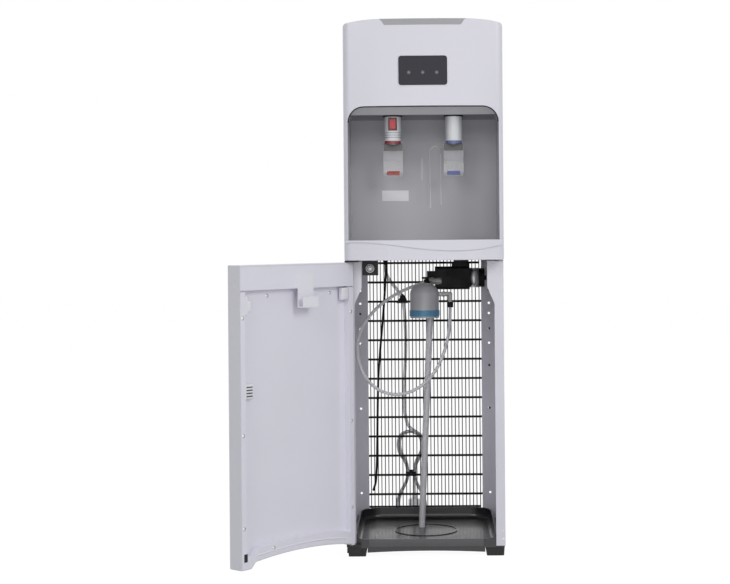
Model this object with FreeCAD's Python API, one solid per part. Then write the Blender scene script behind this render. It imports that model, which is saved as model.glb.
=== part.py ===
import FreeCAD, Part
import math
import os

# A free-standing water cooler that takes its bottle in the bottom bay, in millimetres.
# X runs to the right of someone facing it, Y to the back and Z up. The origin is on the
# floor, at the middle of the cabinet's width and depth. The door stands open.

V = FreeCAD.Vector
UP = V(0, 0, 1)
RIGHT = V(1, 0, 0)
BACK = V(0, 1, 0)

# --- cabinet ---------------------------------------------------------------------
CABINET_WIDTH = 310.0
CABINET_DEPTH = 315.0
SHEET = 1.0
SIDE_BOTTOM = 20.0
SHELF_TOP = 581.0
SHELF_SHEET = 1.5
FRONT_FLANGE = 18.0
GUSSET = 32.0
GUSSET_STRAIGHT = 51.0
GUSSET_SLOPE = 32.0
REAR_FLANGE = 33.0
FIT = 0.3
SLIDE_FIT = 0.5
FLANGE_HOLE = 2.5
REAR_HOLE_HEIGHTS = (74.0, 256.0, 348.0, 396.0, 427.0, 460.0, 482.0, 510.0)

# --- base ------------------------------------------------------------------------
FOOT_HEIGHT = 17.0
FOOT_LENGTH = 38.0
FOOT_INSET = 1.5
FOOT_CORNER = 4.0
FOOT_TAPER = 3.0
FOOT_OUTER_TAPER = 1.0
BASE_FLOOR = 3.0
BASE_WALL = 3.0
BASE_FRONT_TOP = 34.0
BASE_BACK_TOP = 43.0
BASE_CORNER = 45.0
BASE_FRONT_CORNER = 12.0
BASE_SWEEP = 9.0
SKIRT_BOTTOM = 8.0
SKIRT_RISE = 3.0
BOTTLE_RING = 65.0
BOTTLE_RING_WIDTH = 3.0
BOTTLE_RING_HEIGHT = 1.5
BOTTLE_DEPTH = 170.0

# --- head ------------------------------------------------------------------------
HEAD_TOP = 1046.5
HEAD_EDGE_DROP = 8.5
HEAD_FLAT = 83.0
LID_HEIGHT = 14.5
FRONT_EDGE = 36.5
CROWN = 12.0
HEAD_CORNER = 16.0
HEAD_WALL = 3.0
LID_CORNER = 8.0
INSERT_FRONT = 12.0
INSERT_TAPER = 9.0
INSERT_THICK = 2.0
REAR_COVER_DEPTH = 26.0
REAR_COVER_WALL = 2.5
LOUVRE_ROWS = 9
LOUVRE_PITCH = 16.0

# --- display ---------------------------------------------------------------------
DISPLAY_WIDTH = 95.0
DISPLAY_HEIGHT = 57.5
DISPLAY_BOTTOM = 917.5
DISPLAY_CORNER = 6.0
DISPLAY_THICK = 2.4
DISPLAY_INSET = 0.6
LIGHT_PITCH = 27.0
LIGHT_HEIGHT = 942.5
LIGHT_RADIUS = 2.0
BOARD_THICK = 1.6
BOARD_STANDOFF = 7.0

# --- alcove ----------------------------------------------------------------------
ALCOVE_SIDE = 8.5
ALCOVE_TOP = 878.5
ALCOVE_CORNER = 31.0
ALCOVE_BACK = 95.0
ALCOVE_CEILING_BACK = 839.0
ALCOVE_CEILING_FRONT = 864.5
ALCOVE_CEILING_FLAT = 46.0
ALCOVE_LIP_START = 28.0
ALCOVE_LIP_END = 5.0
ALCOVE_FLOOR = 588.0
ALCOVE_WALL = 2.5
WAIST_TOP = 616.0
RIB_HALF = 8.0
RIB_WIDTH = 3.0
RIB_PROUD = 1.5
RIB_BOTTOM = 690.0
RIB_TOP = 805.0

# --- drip tray -------------------------------------------------------------------
TRAY_WALL = 2.0
TRAY_LIP = 3.0
APRON_THICK = 2.0
APRON_INSET = 3.0
GRILLE_THICK = 3.0
GRILLE_SLOTS = 17
GRILLE_SLOT_WIDTH = 7.0
GRILLE_BAR = 8.0

# --- taps ------------------------------------------------------------------------
TAP_X = 60.0
TAP_FRONT = 5.0
TAP_DEPTH = 34.0
TAP_TOP_WIDTH = 33.0
TAP_BOTTOM_WIDTH = 32.0
TAP_BOTTOM = 814.0
TAP_CORNER = 14.0
TAP_STUB = 8.0
NOZZLE_RING_HEIGHT = 5.4
NOZZLE_RADIUS = 6.0
NOZZLE_LENGTH = 6.5
PADDLE_WIDTH = 39.0
PADDLE_THICK = 3.0
PADDLE_BOTTOM = 745.6
PADDLE_PIN_HEIGHT = 820.0
PADDLE_PIN_GAP = 7.0
PADDLE_PIN_RADIUS = 1.5
PADDLE_EAR = 4.5
PIN_FIT = 0.05
LOCK_WIDTH_BOTTOM = 17.3
LOCK_WIDTH_TOP = 16.0
LOCK_BOTTOM = 834.6
LOCK_TOP = 859.5
LOCK_PROUD = 3.0
LOCK_FIT = 0.2

# --- door ------------------------------------------------------------------------
DOOR_THICK = 36.0
DOOR_GAP = 0.5
DOOR_BOTTOM = 27.0
DOOR_TOP = 576.5
DOOR_INSET = 2.0
DOOR_SKIN = 1.5
HINGE_EDGE_RELIEF = 1.3
DOOR_OPEN = 129.0
HINGE_INSET = 5.0
HINGE_OUT = 12.0
HINGE_PIN = 3.0
HINGE_PIN_LENGTH = 12.0
HINGE_PLATE = 2.5
PANEL_THICK = 16.5
PANEL_RIM = 12.0
PANEL_POCKET = 13.0
PANEL_POCKET_TOP = 531.0
PANEL_POCKET_RISE = 24.0
PANEL_GROOVE = 2.5
PANEL_GROOVE_DEPTH = 5.0
PANEL_POCKET_CORNER = 8.0
DOOR_CAP = 3.0
DOOR_SCREW_HEAD = 3.5
DOOR_SCREW_SINK = 1.5
DOOR_SCREW_PROUD = 0.2
HANGER_LEFT = -39.0
HANGER_WIDTH = 42.0
HANGER_BOTTOM = 495.0
HANGER_TOP = 555.5
HANGER_SHEET = 2.0
HANGER_REACH = 15.0
HANGER_LIP = 20.0

# --- switches --------------------------------------------------------------------
ROCKER_WIDTH = 13.0
ROCKER_HEIGHT = 19.0
ROCKER_TILT = 7.0
ROCKER_X = 22.0
ROCKER_AT = 930.0
SWITCH_INSET = 48.7
SWITCH_WIDTH = 30.6
SWITCH_FRONT = 6.0
SWITCH_HEIGHT = 26.5
SWITCH_LENGTH = 30.0
PLUNGER_RADIUS = 8.5
PLUNGER_PROUD = 4.0

# --- condenser -------------------------------------------------------------------
CONDENSER_BEHIND = 8.0
CONDENSER_TUBE = 2.4
CONDENSER_TOP = 569.0
CONDENSER_PITCH = 41.6
CONDENSER_PASSES = 13
CONDENSER_LAST_PITCH = 27.2
CONDENSER_INSET = 36.0
WIRE_RADIUS = 1.0
WIRE_COUNT = 32
WIRE_PITCH = 7.6
WIRE_OVERHANG = 6.0
RISER_X = -81.0
RISER_INSET = 11.0
RISER_TOP = 668.0

# --- pump and probe --------------------------------------------------------------
PUMP_DEPTH = 262.0
PUMP_AXIS = 538.0
PUMP_LEFT = 22.5
PUMP_BODY = 73.0
PUMP_SIZE = 48.0
PUMP_HEAD_HALF = 16.0
PUMP_STEP = 10.0
HOSE_END_AHEAD = 29.0
PUMP_MOTOR_RADIUS = 20.0
PUMP_MOTOR_LENGTH = 32.0
PUMP_OUTLET_X = 77.0
ELBOW_ARM = 6.3
ELBOW_RADIUS = 5.0
HOSE_RADIUS = 3.2
PROBE_AHEAD = 57.0
PROBE_CAP_RADIUS = 30.2
PROBE_CAP_WALL = 3.0
PROBE_TOP = 529.0
PROBE_DOME = 24.0
PROBE_SKIRT = 48.5
PROBE_RING_FROM_RIM = 3.5
PROBE_RING_WIDTH = 13.0
PROBE_RING_THICK = 1.2
PROBE_TUBE_RADIUS = 6.5
PROBE_TUBE_TOP_X = 11.2
PROBE_TUBE_BOTTOM_X = -9.2

# --- tanks and compressor --------------------------------------------------------
COMPRESSOR_INSET = 80.0
COMPRESSOR_DEPTH = 215.0
COMPRESSOR_RADIUS = 58.0
COMPRESSOR_HEIGHT = 140.0
GROMMET_HEIGHT = 10.0
HOT_TANK_X = 100.0
HOT_TANK_DEPTH = 180.0
HOT_TANK_RADIUS = 42.0
HOT_TANK_HEIGHT = 175.0
TANK_SHELF_TOP = 797.0
COLD_TANK_DEPTH = 215.0
COLD_TANK_RADIUS = 65.0
COLD_TANK_HEIGHT = 170.0
INSULATION_WALL = 17.0
COLD_INLET_X = 40.0
COLD_INLET_DEPTH = 240.0
COLD_OUTLET_X = 40.0
COLD_OUTLET_HEIGHT = 900.0

# --- power cord ------------------------------------------------------------------
CORD_RADIUS = 3.5
CORD_BEHIND = 19.0
GLAND_X = -84.0
GLAND_RADIUS = 6.0
GLAND_LENGTH = 14.0
GLAND_INSIDE = 8.0
HANK_LOOPS = 3
HANK_STEP = 7.8
HANK_X = -32.0
HANK_TOP = 203.0
HANK_BOTTOM = 8.0
HANK_WAIST = 112.0
HANK_TOP_HALF = 28.0
HANK_LOW_HALF = 31.0
HANK_WAIST_HALF = 6.5
HANK_SPREAD = 1.5
PLUG_TOP = 66.0
PLUG_BODY = 38.0
PLUG_PIN = 18.0
PLUG_WIDTH = 26.0
PLUG_THICK = 18.0
TIE_HEIGHT = 9.0
TIE_WALL = 1.2

SIDE_X = CABINET_WIDTH / 2
FRONT_Y = -CABINET_DEPTH / 2
REAR_Y = CABINET_DEPTH / 2
LID_BOTTOM = HEAD_TOP - LID_HEIGHT
BASE_UNDER = FOOT_HEIGHT
BASE_FLOOR_TOP = BASE_UNDER + BASE_FLOOR
BASE_HALF = SIDE_X - SHEET - FIT
BASIN_HALF = SIDE_X - FRONT_FLANGE
SHELF_UNDER = SHELF_TOP - SHELF_SHEET
ALCOVE_HALF = SIDE_X - ALCOVE_SIDE
APRON_HALF = SIDE_X - APRON_INSET
DOOR_RIGHT = SIDE_X - DOOR_INSET
HINGE_X = -SIDE_X + HINGE_INSET
CONDENSER_HALF = SIDE_X - CONDENSER_INSET
RISER_DEPTH = CABINET_DEPTH - RISER_INSET
SWITCH_X = -SIDE_X + SWITCH_INSET
COMPRESSOR_X = -SIDE_X + COMPRESSOR_INSET
PROBE_DEPTH = PUMP_DEPTH - PROBE_AHEAD
PROBE_SHOULDER = PROBE_TOP - PROBE_DOME
PROBE_RIM_BOTTOM = PROBE_SHOULDER - PROBE_SKIRT
PROBE_RING_BOTTOM = PROBE_RIM_BOTTOM + PROBE_RING_FROM_RIM
PROBE_RING_TOP = PROBE_RING_BOTTOM + PROBE_RING_WIDTH
FITTING_HEIGHT = PROBE_SHOULDER + 0.5


def depth(distance):
    """Y of a place this far behind the plane of the cabinet's front flanges."""
    return FRONT_Y + distance


def box(x0, x1, y0, y1, z0, z1):
    return Part.makeBox(x1 - x0, y1 - y0, z1 - z0, V(x0, y0, z0))


def rod(start, direction, radius, length):
    return Part.makeCylinder(radius, length, start, direction)


def cone(start, direction, radius, end_radius, length):
    return Part.makeCone(radius, end_radius, length, start, direction)


def polygon(corners):
    return Part.Face(Part.makePolygon(corners + corners[:1]))


def prism_xz(points, y0, y1):
    return polygon([V(x, y0, z) for x, z in points]).extrude(V(0, y1 - y0, 0))


def prism_yz(points, x0, x1):
    return polygon([V(x0, y, z) for y, z in points]).extrude(V(x1 - x0, 0, 0))


def joined(first, *others):
    return first.fuse(list(others)).removeSplitter()


def cut(shape, *tools):
    return shape.cut(list(tools))


def mirrored(shape):
    return shape.mirror(V(0, 0, 0), RIGHT)


def edges_along(shape, axis, test):
    """Straight edges parallel to axis whose middle passes the test."""
    found = []
    for edge in shape.Edges:
        ends = [vertex.Point for vertex in edge.Vertexes]
        if len(ends) != 2:
            continue
        run = (ends[1] - ends[0]).normalize()
        if abs(run.dot(axis)) > 0.999 and test((ends[0] + ends[1]) * 0.5):
            found.append(edge)
    return found


def rounded(shape, radius, axis, test=lambda middle: True):
    return shape.makeFillet(radius, edges_along(shape, axis, test))


def save(name, *solids):
    pieces = [solid for shape in solids for solid in shape.Solids]
    for piece in pieces:
        if not piece.isValid() or piece.Volume <= 0:
            raise ValueError(name + " is not a sound solid")
    shape = pieces[0] if len(pieces) == 1 else Part.makeCompound(pieces)
    shape.exportStep("parts/" + name + ".step")


def crowned_block(x0, x1, edge, back, z0, z1, corner, crown=CROWN):
    """A block whose front face bows out by crown from an edge this far before the flanges."""
    left = V(x0, depth(-edge), z0)
    right = V(x1, depth(-edge), z0)
    middle = V((x0 + x1) / 2, depth(-edge - crown), z0)
    outline = [
        Part.LineSegment(V(x0, back, z0), left).toShape(),
        Part.Arc(left, middle, right).toShape(),
        Part.LineSegment(right, V(x1, back, z0)).toShape(),
        Part.LineSegment(V(x1, back, z0), V(x0, back, z0)).toShape(),
    ]
    block = Part.Face(Part.Wire(outline)).extrude(V(0, 0, z1 - z0))
    if corner <= 0:
        return block
    return rounded(block, corner, UP, lambda middle: middle.y < depth(-edge) + 0.1)


# --- paths and sweeps ------------------------------------------------------------


def route_wire(points, label):
    """Straight runs joined by tangent arcs, each as large as its two runs allow."""
    corners = [V(*point) for point in points]
    edges = []
    radii = []
    start = corners[0]
    for before, corner, after in zip(corners, corners[1:], corners[2:]):
        run_in = corner - before
        run_out = after - corner
        half_turn = run_in.getAngle(run_out) / 2
        setback = 0.45 * min(run_in.Length, run_out.Length)
        direction_in = V(run_in).normalize()
        direction_out = V(run_out).normalize()
        radius = setback / math.tan(half_turn)
        arc_start = corner - direction_in * setback
        arc_end = corner + direction_out * setback
        inward = (direction_out - direction_in).normalize()
        sagitta = radius / math.cos(half_turn) - radius
        radii.append(radius)
        edges.append(Part.LineSegment(start, arc_start).toShape())
        edges.append(Part.Arc(arc_start, corner + inward * sagitta, arc_end).toShape())
        start = arc_end
    edges.append(Part.LineSegment(start, corners[-1]).toShape())
    wire = Part.Wire(edges)
    print(label, "length", round(wire.Length, 1), "radii", [round(radius, 1) for radius in radii])
    return wire


def sweep(wire, radius, label):
    first = wire.Edges[0]
    start = first.valueAt(first.FirstParameter)
    along = first.tangentAt(first.FirstParameter)
    ring = Part.Wire(Part.makeCircle(radius, start, along))
    tube = wire.makePipeShell([ring], True, False)
    section = math.pi * radius * radius
    print(label, "volume over section x length", round(tube.Volume / (section * wire.Length), 4))
    return tube


def tube(points, radius, label):
    return sweep(route_wire(points, label), radius, label)


def arc_to(start, along, end):
    """The arc from start, leaving in the direction along, that ends at end."""
    chord = end - start
    across = chord - along * chord.dot(along)
    if across.Length < 1e-6:
        return Part.LineSegment(start, end).toShape()
    across.normalize()
    radius = chord.dot(chord) / (2 * chord.dot(across))
    centre = start + across * radius
    half = V(chord).normalize().getAngle(along)
    middle = centre - across * (radius * math.cos(half)) + along * (radius * math.sin(half))
    return Part.Arc(start, middle, end).toShape()


def biarc(start, along, end, end_along):
    """Two arcs that run from start to end and keep the direction at both."""
    span = end - start
    both = along + end_along
    square = 2 * (along.dot(end_along) - 1)
    linear = -2 * span.dot(both)
    constant = span.dot(span)
    if abs(square) < 1e-9:
        reach = -constant / linear
    else:
        root = math.sqrt(linear * linear - 4 * square * constant)
        reach = (-linear - root) / (2 * square)
    reach = abs(reach)
    joint = (start + along * reach + end - end_along * reach) * 0.5
    middle_along = (end - end_along * reach - start - along * reach).normalize()
    return [arc_to(start, along, joint), arc_to(joint, middle_along, end)]


# --- cabinet ---------------------------------------------------------------------


def side_panel():
    """The right side: one folded sheet with a front flange, its gusset and a rear flange."""
    outer = SIDE_X
    inner = SIDE_X - SHEET
    panel = box(inner, outer, FRONT_Y, REAR_Y, SIDE_BOTTOM, LID_BOTTOM)
    gusset_low = SHELF_UNDER - HINGE_PLATE - GUSSET_STRAIGHT
    front = prism_xz(
        [
            (outer, SIDE_BOTTOM),
            (outer - FRONT_FLANGE, SIDE_BOTTOM),
            (outer - FRONT_FLANGE, gusset_low - GUSSET_SLOPE),
            (outer - GUSSET, gusset_low),
            (outer - GUSSET, SHELF_UNDER - HINGE_PLATE),
            (outer, SHELF_UNDER - HINGE_PLATE),
        ],
        FRONT_Y,
        FRONT_Y + SHEET,
    )
    rear = box(outer - REAR_FLANGE, outer, REAR_Y - SHEET, REAR_Y, SIDE_BOTTOM, SHELF_UNDER)
    upper = box(outer - FRONT_FLANGE, outer, REAR_Y - SHEET, REAR_Y, SHELF_UNDER, LID_BOTTOM)
    panel = joined(panel, front, rear, upper)
    hole_x = outer - REAR_FLANGE / 2
    holes = [
        rod(V(hole_x, REAR_Y - 2 * SHEET, height), BACK, FLANGE_HOLE, 3 * SHEET)
        for height in REAR_HOLE_HEIGHTS
    ]
    return cut(panel, *holes)


def base_tray():
    """The moulded base: a shallow basin on a plate, with a skirt below its front lip."""
    front = FRONT_Y + SHEET + FIT
    back = REAR_Y - SHEET - FIT
    plate = box(-BASE_HALF, BASE_HALF, front, back, BASE_UNDER, BASE_FLOOR_TOP)
    rim_half = BASIN_HALF + BASE_WALL
    rim = box(-rim_half, rim_half, front, back, BASE_UNDER, BASE_BACK_TOP)
    rim = rounded(rim, BASE_CORNER + BASE_WALL, UP, lambda middle: middle.y > 0)
    inner = box(
        -BASIN_HALF,
        BASIN_HALF,
        front + BASE_WALL,
        back - BASE_WALL,
        BASE_FLOOR_TOP,
        BASE_BACK_TOP + BASE_WALL,
    )
    inner = rounded(inner, BASE_CORNER, UP, lambda middle: middle.y > 0)
    inner = rounded(inner, BASE_FRONT_CORNER, UP, lambda middle: middle.y < 0)
    inner = inner.makeFillet(BASE_SWEEP, [e for e in inner.Edges if e.BoundBox.ZMax < BASE_FLOOR_TOP + 1])
    lowered = box(-SIDE_X, SIDE_X, front, front + BASE_WALL, BASE_FRONT_TOP, BASE_BACK_TOP)
    slope = prism_yz(
        [
            (front + BASE_WALL, BASE_FRONT_TOP),
            (front + 4 * BASE_WALL, BASE_BACK_TOP),
            (front + BASE_WALL, BASE_BACK_TOP),
        ],
        -SIDE_X,
        SIDE_X,
    )
    tray = cut(joined(plate, rim), inner, lowered, slope)
    ring_at = V(0, depth(BOTTLE_DEPTH), BASE_FLOOR_TOP)
    ring = cut(
        rod(ring_at, UP, BOTTLE_RING, BOTTLE_RING_HEIGHT),
        rod(ring_at, UP, BOTTLE_RING - BOTTLE_RING_WIDTH, BOTTLE_RING_HEIGHT),
    )
    foot_inner = SIDE_X - FOOT_INSET - FOOT_LENGTH
    lip_half = SIDE_X - FRONT_FLANGE - FIT
    lip_front = box(-lip_half, lip_half, FRONT_Y, front + BASE_WALL, BASE_UNDER, BASE_FRONT_TOP)
    low = SKIRT_BOTTOM + SKIRT_RISE
    skirt_half = foot_inner - FIT
    arch = Part.Wire(
        [
            Part.Arc(
                V(-skirt_half, FRONT_Y, SKIRT_BOTTOM),
                V(0, FRONT_Y, low),
                V(skirt_half, FRONT_Y, SKIRT_BOTTOM),
            ).toShape(),
            Part.makePolygon(
                [
                    V(skirt_half, FRONT_Y, SKIRT_BOTTOM),
                    V(skirt_half, FRONT_Y, BASE_UNDER + BASE_FLOOR),
                    V(-skirt_half, FRONT_Y, BASE_UNDER + BASE_FLOOR),
                    V(-skirt_half, FRONT_Y, SKIRT_BOTTOM),
                ]
            ),
        ]
    )
    skirt = Part.Face(arch).extrude(V(0, SHEET + FIT + BASE_WALL, 0))
    return joined(tray, ring, lip_front, skirt)


def feet():
    """Four moulded feet, each a block that narrows towards the floor."""
    pads = []
    outer = SIDE_X - FOOT_INSET
    inner = outer - FOOT_LENGTH
    low_outer = outer - FOOT_OUTER_TAPER
    low_inner = inner + FOOT_TAPER
    for y_low, y_high in ((FRONT_Y, FRONT_Y + FOOT_LENGTH), (REAR_Y - FOOT_LENGTH, REAR_Y)):
        foot = Part.makeLoft(
            [
                Part.makePolygon(
                    [
                        V(low_inner, y_low + FOOT_TAPER, 0),
                        V(low_outer, y_low + FOOT_TAPER, 0),
                        V(low_outer, y_high - FOOT_TAPER, 0),
                        V(low_inner, y_high - FOOT_TAPER, 0),
                        V(low_inner, y_low + FOOT_TAPER, 0),
                    ]
                ),
                Part.makePolygon(
                    [
                        V(inner, y_low, BASE_UNDER),
                        V(outer, y_low, BASE_UNDER),
                        V(outer, y_high, BASE_UNDER),
                        V(inner, y_high, BASE_UNDER),
                        V(inner, y_low, BASE_UNDER),
                    ]
                ),
            ],
            True,
            True,
        )
        sides = [e for e in foot.Edges if e.BoundBox.ZLength > FOOT_HEIGHT / 2]
        foot = foot.makeFillet(FOOT_CORNER, sides)
        pads += [foot, mirrored(foot)]
    return pads


def mid_shelf():
    """The deck between bay and head, with the holes for the riser pipe and the pump hose."""
    half = SIDE_X - SHEET - FIT / 3
    shelf = box(-half, half, FRONT_Y, REAR_Y - SHEET - FIT / 3, SHELF_UNDER, SHELF_TOP)
    pipe_hole = rod(V(RISER_X, depth(RISER_DEPTH), SHELF_UNDER), UP, 6.0, SHELF_SHEET)
    hose_hole = rod(V(PUMP_OUTLET_X, depth(PUMP_DEPTH), SHELF_UNDER), UP, 7.0, SHELF_SHEET)
    return cut(shelf, pipe_hole, hose_hole)


def head_plan(inset, edge_inset, back, z0, z1, half=SIDE_X):
    corner = max(HEAD_CORNER - inset, 0)
    return crowned_block(-half + inset, half - inset, FRONT_EDGE - edge_inset, back, z0, z1, corner)


def alcove_cavity(grow):
    """The dispensing alcove: rounded at its top corners, its roof flat over the taps."""
    half = ALCOVE_HALF + grow
    low = ALCOVE_FLOOR - grow
    high = ALCOVE_TOP + grow
    ahead = 80.0
    front = box(-half, half, depth(-ahead), depth(ALCOVE_BACK + grow), low, high)
    front = rounded(front, ALCOVE_CORNER + grow, BACK, lambda middle: middle.z > high - 1)
    side = prism_yz(
        [
            (depth(-ahead), low),
            (depth(ALCOVE_BACK + grow), low),
            (depth(ALCOVE_BACK + grow), ALCOVE_CEILING_BACK + grow),
            (depth(ALCOVE_CEILING_FLAT), ALCOVE_CEILING_FRONT + grow),
            (depth(-ALCOVE_LIP_END), ALCOVE_CEILING_FRONT + grow),
            (depth(-ALCOVE_LIP_START), high),
            (depth(-ahead), high),
        ],
        -half,
        half,
    )
    return front.common(side)


def display_prism(grow):
    half = DISPLAY_WIDTH / 2 + grow
    block = box(
        -half,
        half,
        depth(-FRONT_EDGE - 2 * CROWN),
        depth(0),
        DISPLAY_BOTTOM - grow,
        DISPLAY_BOTTOM + DISPLAY_HEIGHT + grow,
    )
    return rounded(block, DISPLAY_CORNER + grow, BACK)


def board_depth():
    return -FRONT_EDGE - CROWN + HEAD_WALL + BOARD_STANDOFF


def head_fascia():
    """The crowned front of the head: display above, alcove below, plain waist at the bottom."""
    shell = cut(
        head_plan(0, 0, FRONT_Y, SHELF_TOP, LID_BOTTOM),
        head_plan(HEAD_WALL, HEAD_WALL, FRONT_Y + 1, SHELF_TOP, LID_BOTTOM),
    )
    opening = alcove_cavity(0).common(
        box(-SIDE_X, SIDE_X, depth(-80), depth(0), WAIST_TOP, ALCOVE_TOP)
    )
    shell = cut(shell, opening, display_prism(FIT / 3))
    posts = []
    for side in (-1, 1):
        for height in (DISPLAY_BOTTOM - 8, DISPLAY_BOTTOM + DISPLAY_HEIGHT + 8):
            at = V(side * (DISPLAY_WIDTH / 2 - 5), depth(-FRONT_EDGE - CROWN + HEAD_WALL / 2), height)
            posts.append(rod(at, BACK, 3.0, BOARD_STANDOFF + HEAD_WALL / 2))
    return joined(shell, *posts)


def alcove_liner():
    """The moulded liner of the alcove, with the pipe holes over its taps and its back ribs."""
    liner = cut(alcove_cavity(ALCOVE_WALL), alcove_cavity(0))
    behind = head_plan(HEAD_WALL + 0.2, HEAD_WALL + 0.2, REAR_Y, SHELF_TOP, LID_BOTTOM)
    liner = liner.common(behind)
    for side in (-1, 1):
        liner = cut(liner, rod(V(side * TAP_X, tap_middle(), TAP_BOTTOM), UP, 5.0, 80.0))
    wall = depth(ALCOVE_BACK)
    ribs = []
    for x in (-RIB_HALF - RIB_WIDTH, RIB_HALF):
        ribs.append(box(x, x + RIB_WIDTH, wall - RIB_PROUD, wall + 1, RIB_BOTTOM, RIB_TOP))
    arch_at = V(0, wall - RIB_PROUD, RIB_TOP)
    arch = cut(
        rod(arch_at, BACK, RIB_HALF + RIB_WIDTH, RIB_PROUD + 1),
        rod(arch_at, BACK, RIB_HALF, RIB_PROUD + 1),
        box(-20, 20, wall - 5, wall + 5, RIB_TOP - 20, RIB_TOP),
    )
    return joined(liner, *ribs, arch)


def lid_profile(drop):
    """The top of the head seen from the front, lowered by drop."""
    rise = SIDE_X - HEAD_FLAT
    radius = (rise * rise + HEAD_EDGE_DROP * HEAD_EDGE_DROP) / (2 * HEAD_EDGE_DROP)
    top = HEAD_TOP - drop
    middle = top - radius
    y = FRONT_Y - 100
    low = LID_BOTTOM - 10
    corner_x = SIDE_X - LID_CORNER
    reach = radius - LID_CORNER
    corner_z = middle + math.sqrt(reach * reach - (corner_x - HEAD_FLAT) * (corner_x - HEAD_FLAT))
    turn = math.atan2(corner_x - HEAD_FLAT, corner_z - middle)
    half_right = (math.pi / 2 + turn) / 2

    def on_shoulder(side, angle):
        x = HEAD_FLAT + radius * math.sin(angle)
        return V(side * x, y, middle + radius * math.cos(angle))

    def on_corner(side, angle):
        x = corner_x + LID_CORNER * math.sin(angle)
        return V(side * x, y, corner_z + LID_CORNER * math.cos(angle))

    outline = [
        Part.makeLine(V(-HEAD_FLAT, y, top), V(HEAD_FLAT, y, top)),
        Part.makePolygon(
            [
                V(SIDE_X, y, corner_z),
                V(SIDE_X, y, low),
                V(-SIDE_X, y, low),
                V(-SIDE_X, y, corner_z),
            ]
        ),
    ]
    for side in (-1, 1):
        shoulder = [on_shoulder(side, angle) for angle in (turn, turn / 2, 0)]
        corner = [on_corner(side, angle) for angle in (turn, half_right, math.pi / 2)]
        outline.append(Part.Arc(*shoulder).toShape())
        outline.append(Part.Arc(*corner).toShape())
    return Part.Face(Part.Wire(Part.__sortEdges__([e for o in outline for e in o.Edges])))


def top_cover():
    """The lid of the head, crowned across, with a shallow seat for its grey insert."""
    run = V(0, CABINET_DEPTH + 200, 0)
    outer = head_plan(0, 0, REAR_Y, LID_BOTTOM, HEAD_TOP).common(lid_profile(0).extrude(run))
    inner = head_plan(HEAD_WALL, HEAD_WALL, REAR_Y - HEAD_WALL, LID_BOTTOM, HEAD_TOP)
    inner = inner.common(lid_profile(HEAD_WALL + INSERT_THICK).extrude(run))
    return cut(outer, inner, insert_solid(FIT / 3))


def insert_solid(grow):
    """The grey band over the lid, which narrows where it turns down over the front."""
    half = HEAD_FLAT + grow
    back = REAR_Y - 25 + grow
    front = depth(-FRONT_EDGE - CROWN - 5)
    plate = box(-half, half, front, back, HEAD_TOP - INSERT_THICK - grow, HEAD_TOP + 1)
    turned = prism_xz(
        [
            (-half, HEAD_TOP + 1),
            (-half + INSERT_TAPER, HEAD_TOP - INSERT_FRONT - grow),
            (half - INSERT_TAPER, HEAD_TOP - INSERT_FRONT - grow),
            (half, HEAD_TOP + 1),
        ],
        front,
        depth(0),
    )
    turned = cut(
        turned,
        head_plan(0, INSERT_THICK + grow, REAR_Y, LID_BOTTOM - 20, HEAD_TOP + 5),
    )
    return joined(plate, turned)


def top_insert():
    band = insert_solid(0)
    return band.common(head_plan(0, 0, REAR_Y, LID_BOTTOM, HEAD_TOP))


def display_window():
    front = head_plan(DISPLAY_INSET, DISPLAY_INSET, FRONT_Y, LID_BOTTOM - 150, LID_BOTTOM)
    back = head_plan(
        DISPLAY_INSET + DISPLAY_THICK,
        DISPLAY_INSET + DISPLAY_THICK,
        FRONT_Y + 1,
        LID_BOTTOM - 150,
        LID_BOTTOM,
    )
    window = cut(front, back).common(display_prism(0))
    return cut(window, *light_rods(LIGHT_RADIUS + FIT / 6))


def light_rods(radius):
    rods = []
    for index in (-1, 0, 1):
        at = V(index * LIGHT_PITCH, depth(-FRONT_EDGE - CROWN + DISPLAY_INSET), LIGHT_HEIGHT)
        rods.append(rod(at, BACK, radius, BOARD_STANDOFF + HEAD_WALL - DISPLAY_INSET))
    return rods


def control_board():
    """The circuit board on the fascia's posts, with its relay and terminal blocks."""
    y = depth(board_depth())
    half = DISPLAY_WIDTH / 2
    low = DISPLAY_BOTTOM - 14
    high = DISPLAY_BOTTOM + DISPLAY_HEIGHT + 14
    board = box(-half, half, y, y + BOARD_THICK, low, high)
    blocks = []
    for index, width in enumerate((14, 20, 26, 16)):
        x = -half + 8 + index * 22
        blocks.append(box(x, x + width * 0.8, y + BOARD_THICK, y + 12, low + 10, low + 10 + width))
    return joined(board, *blocks)


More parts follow.
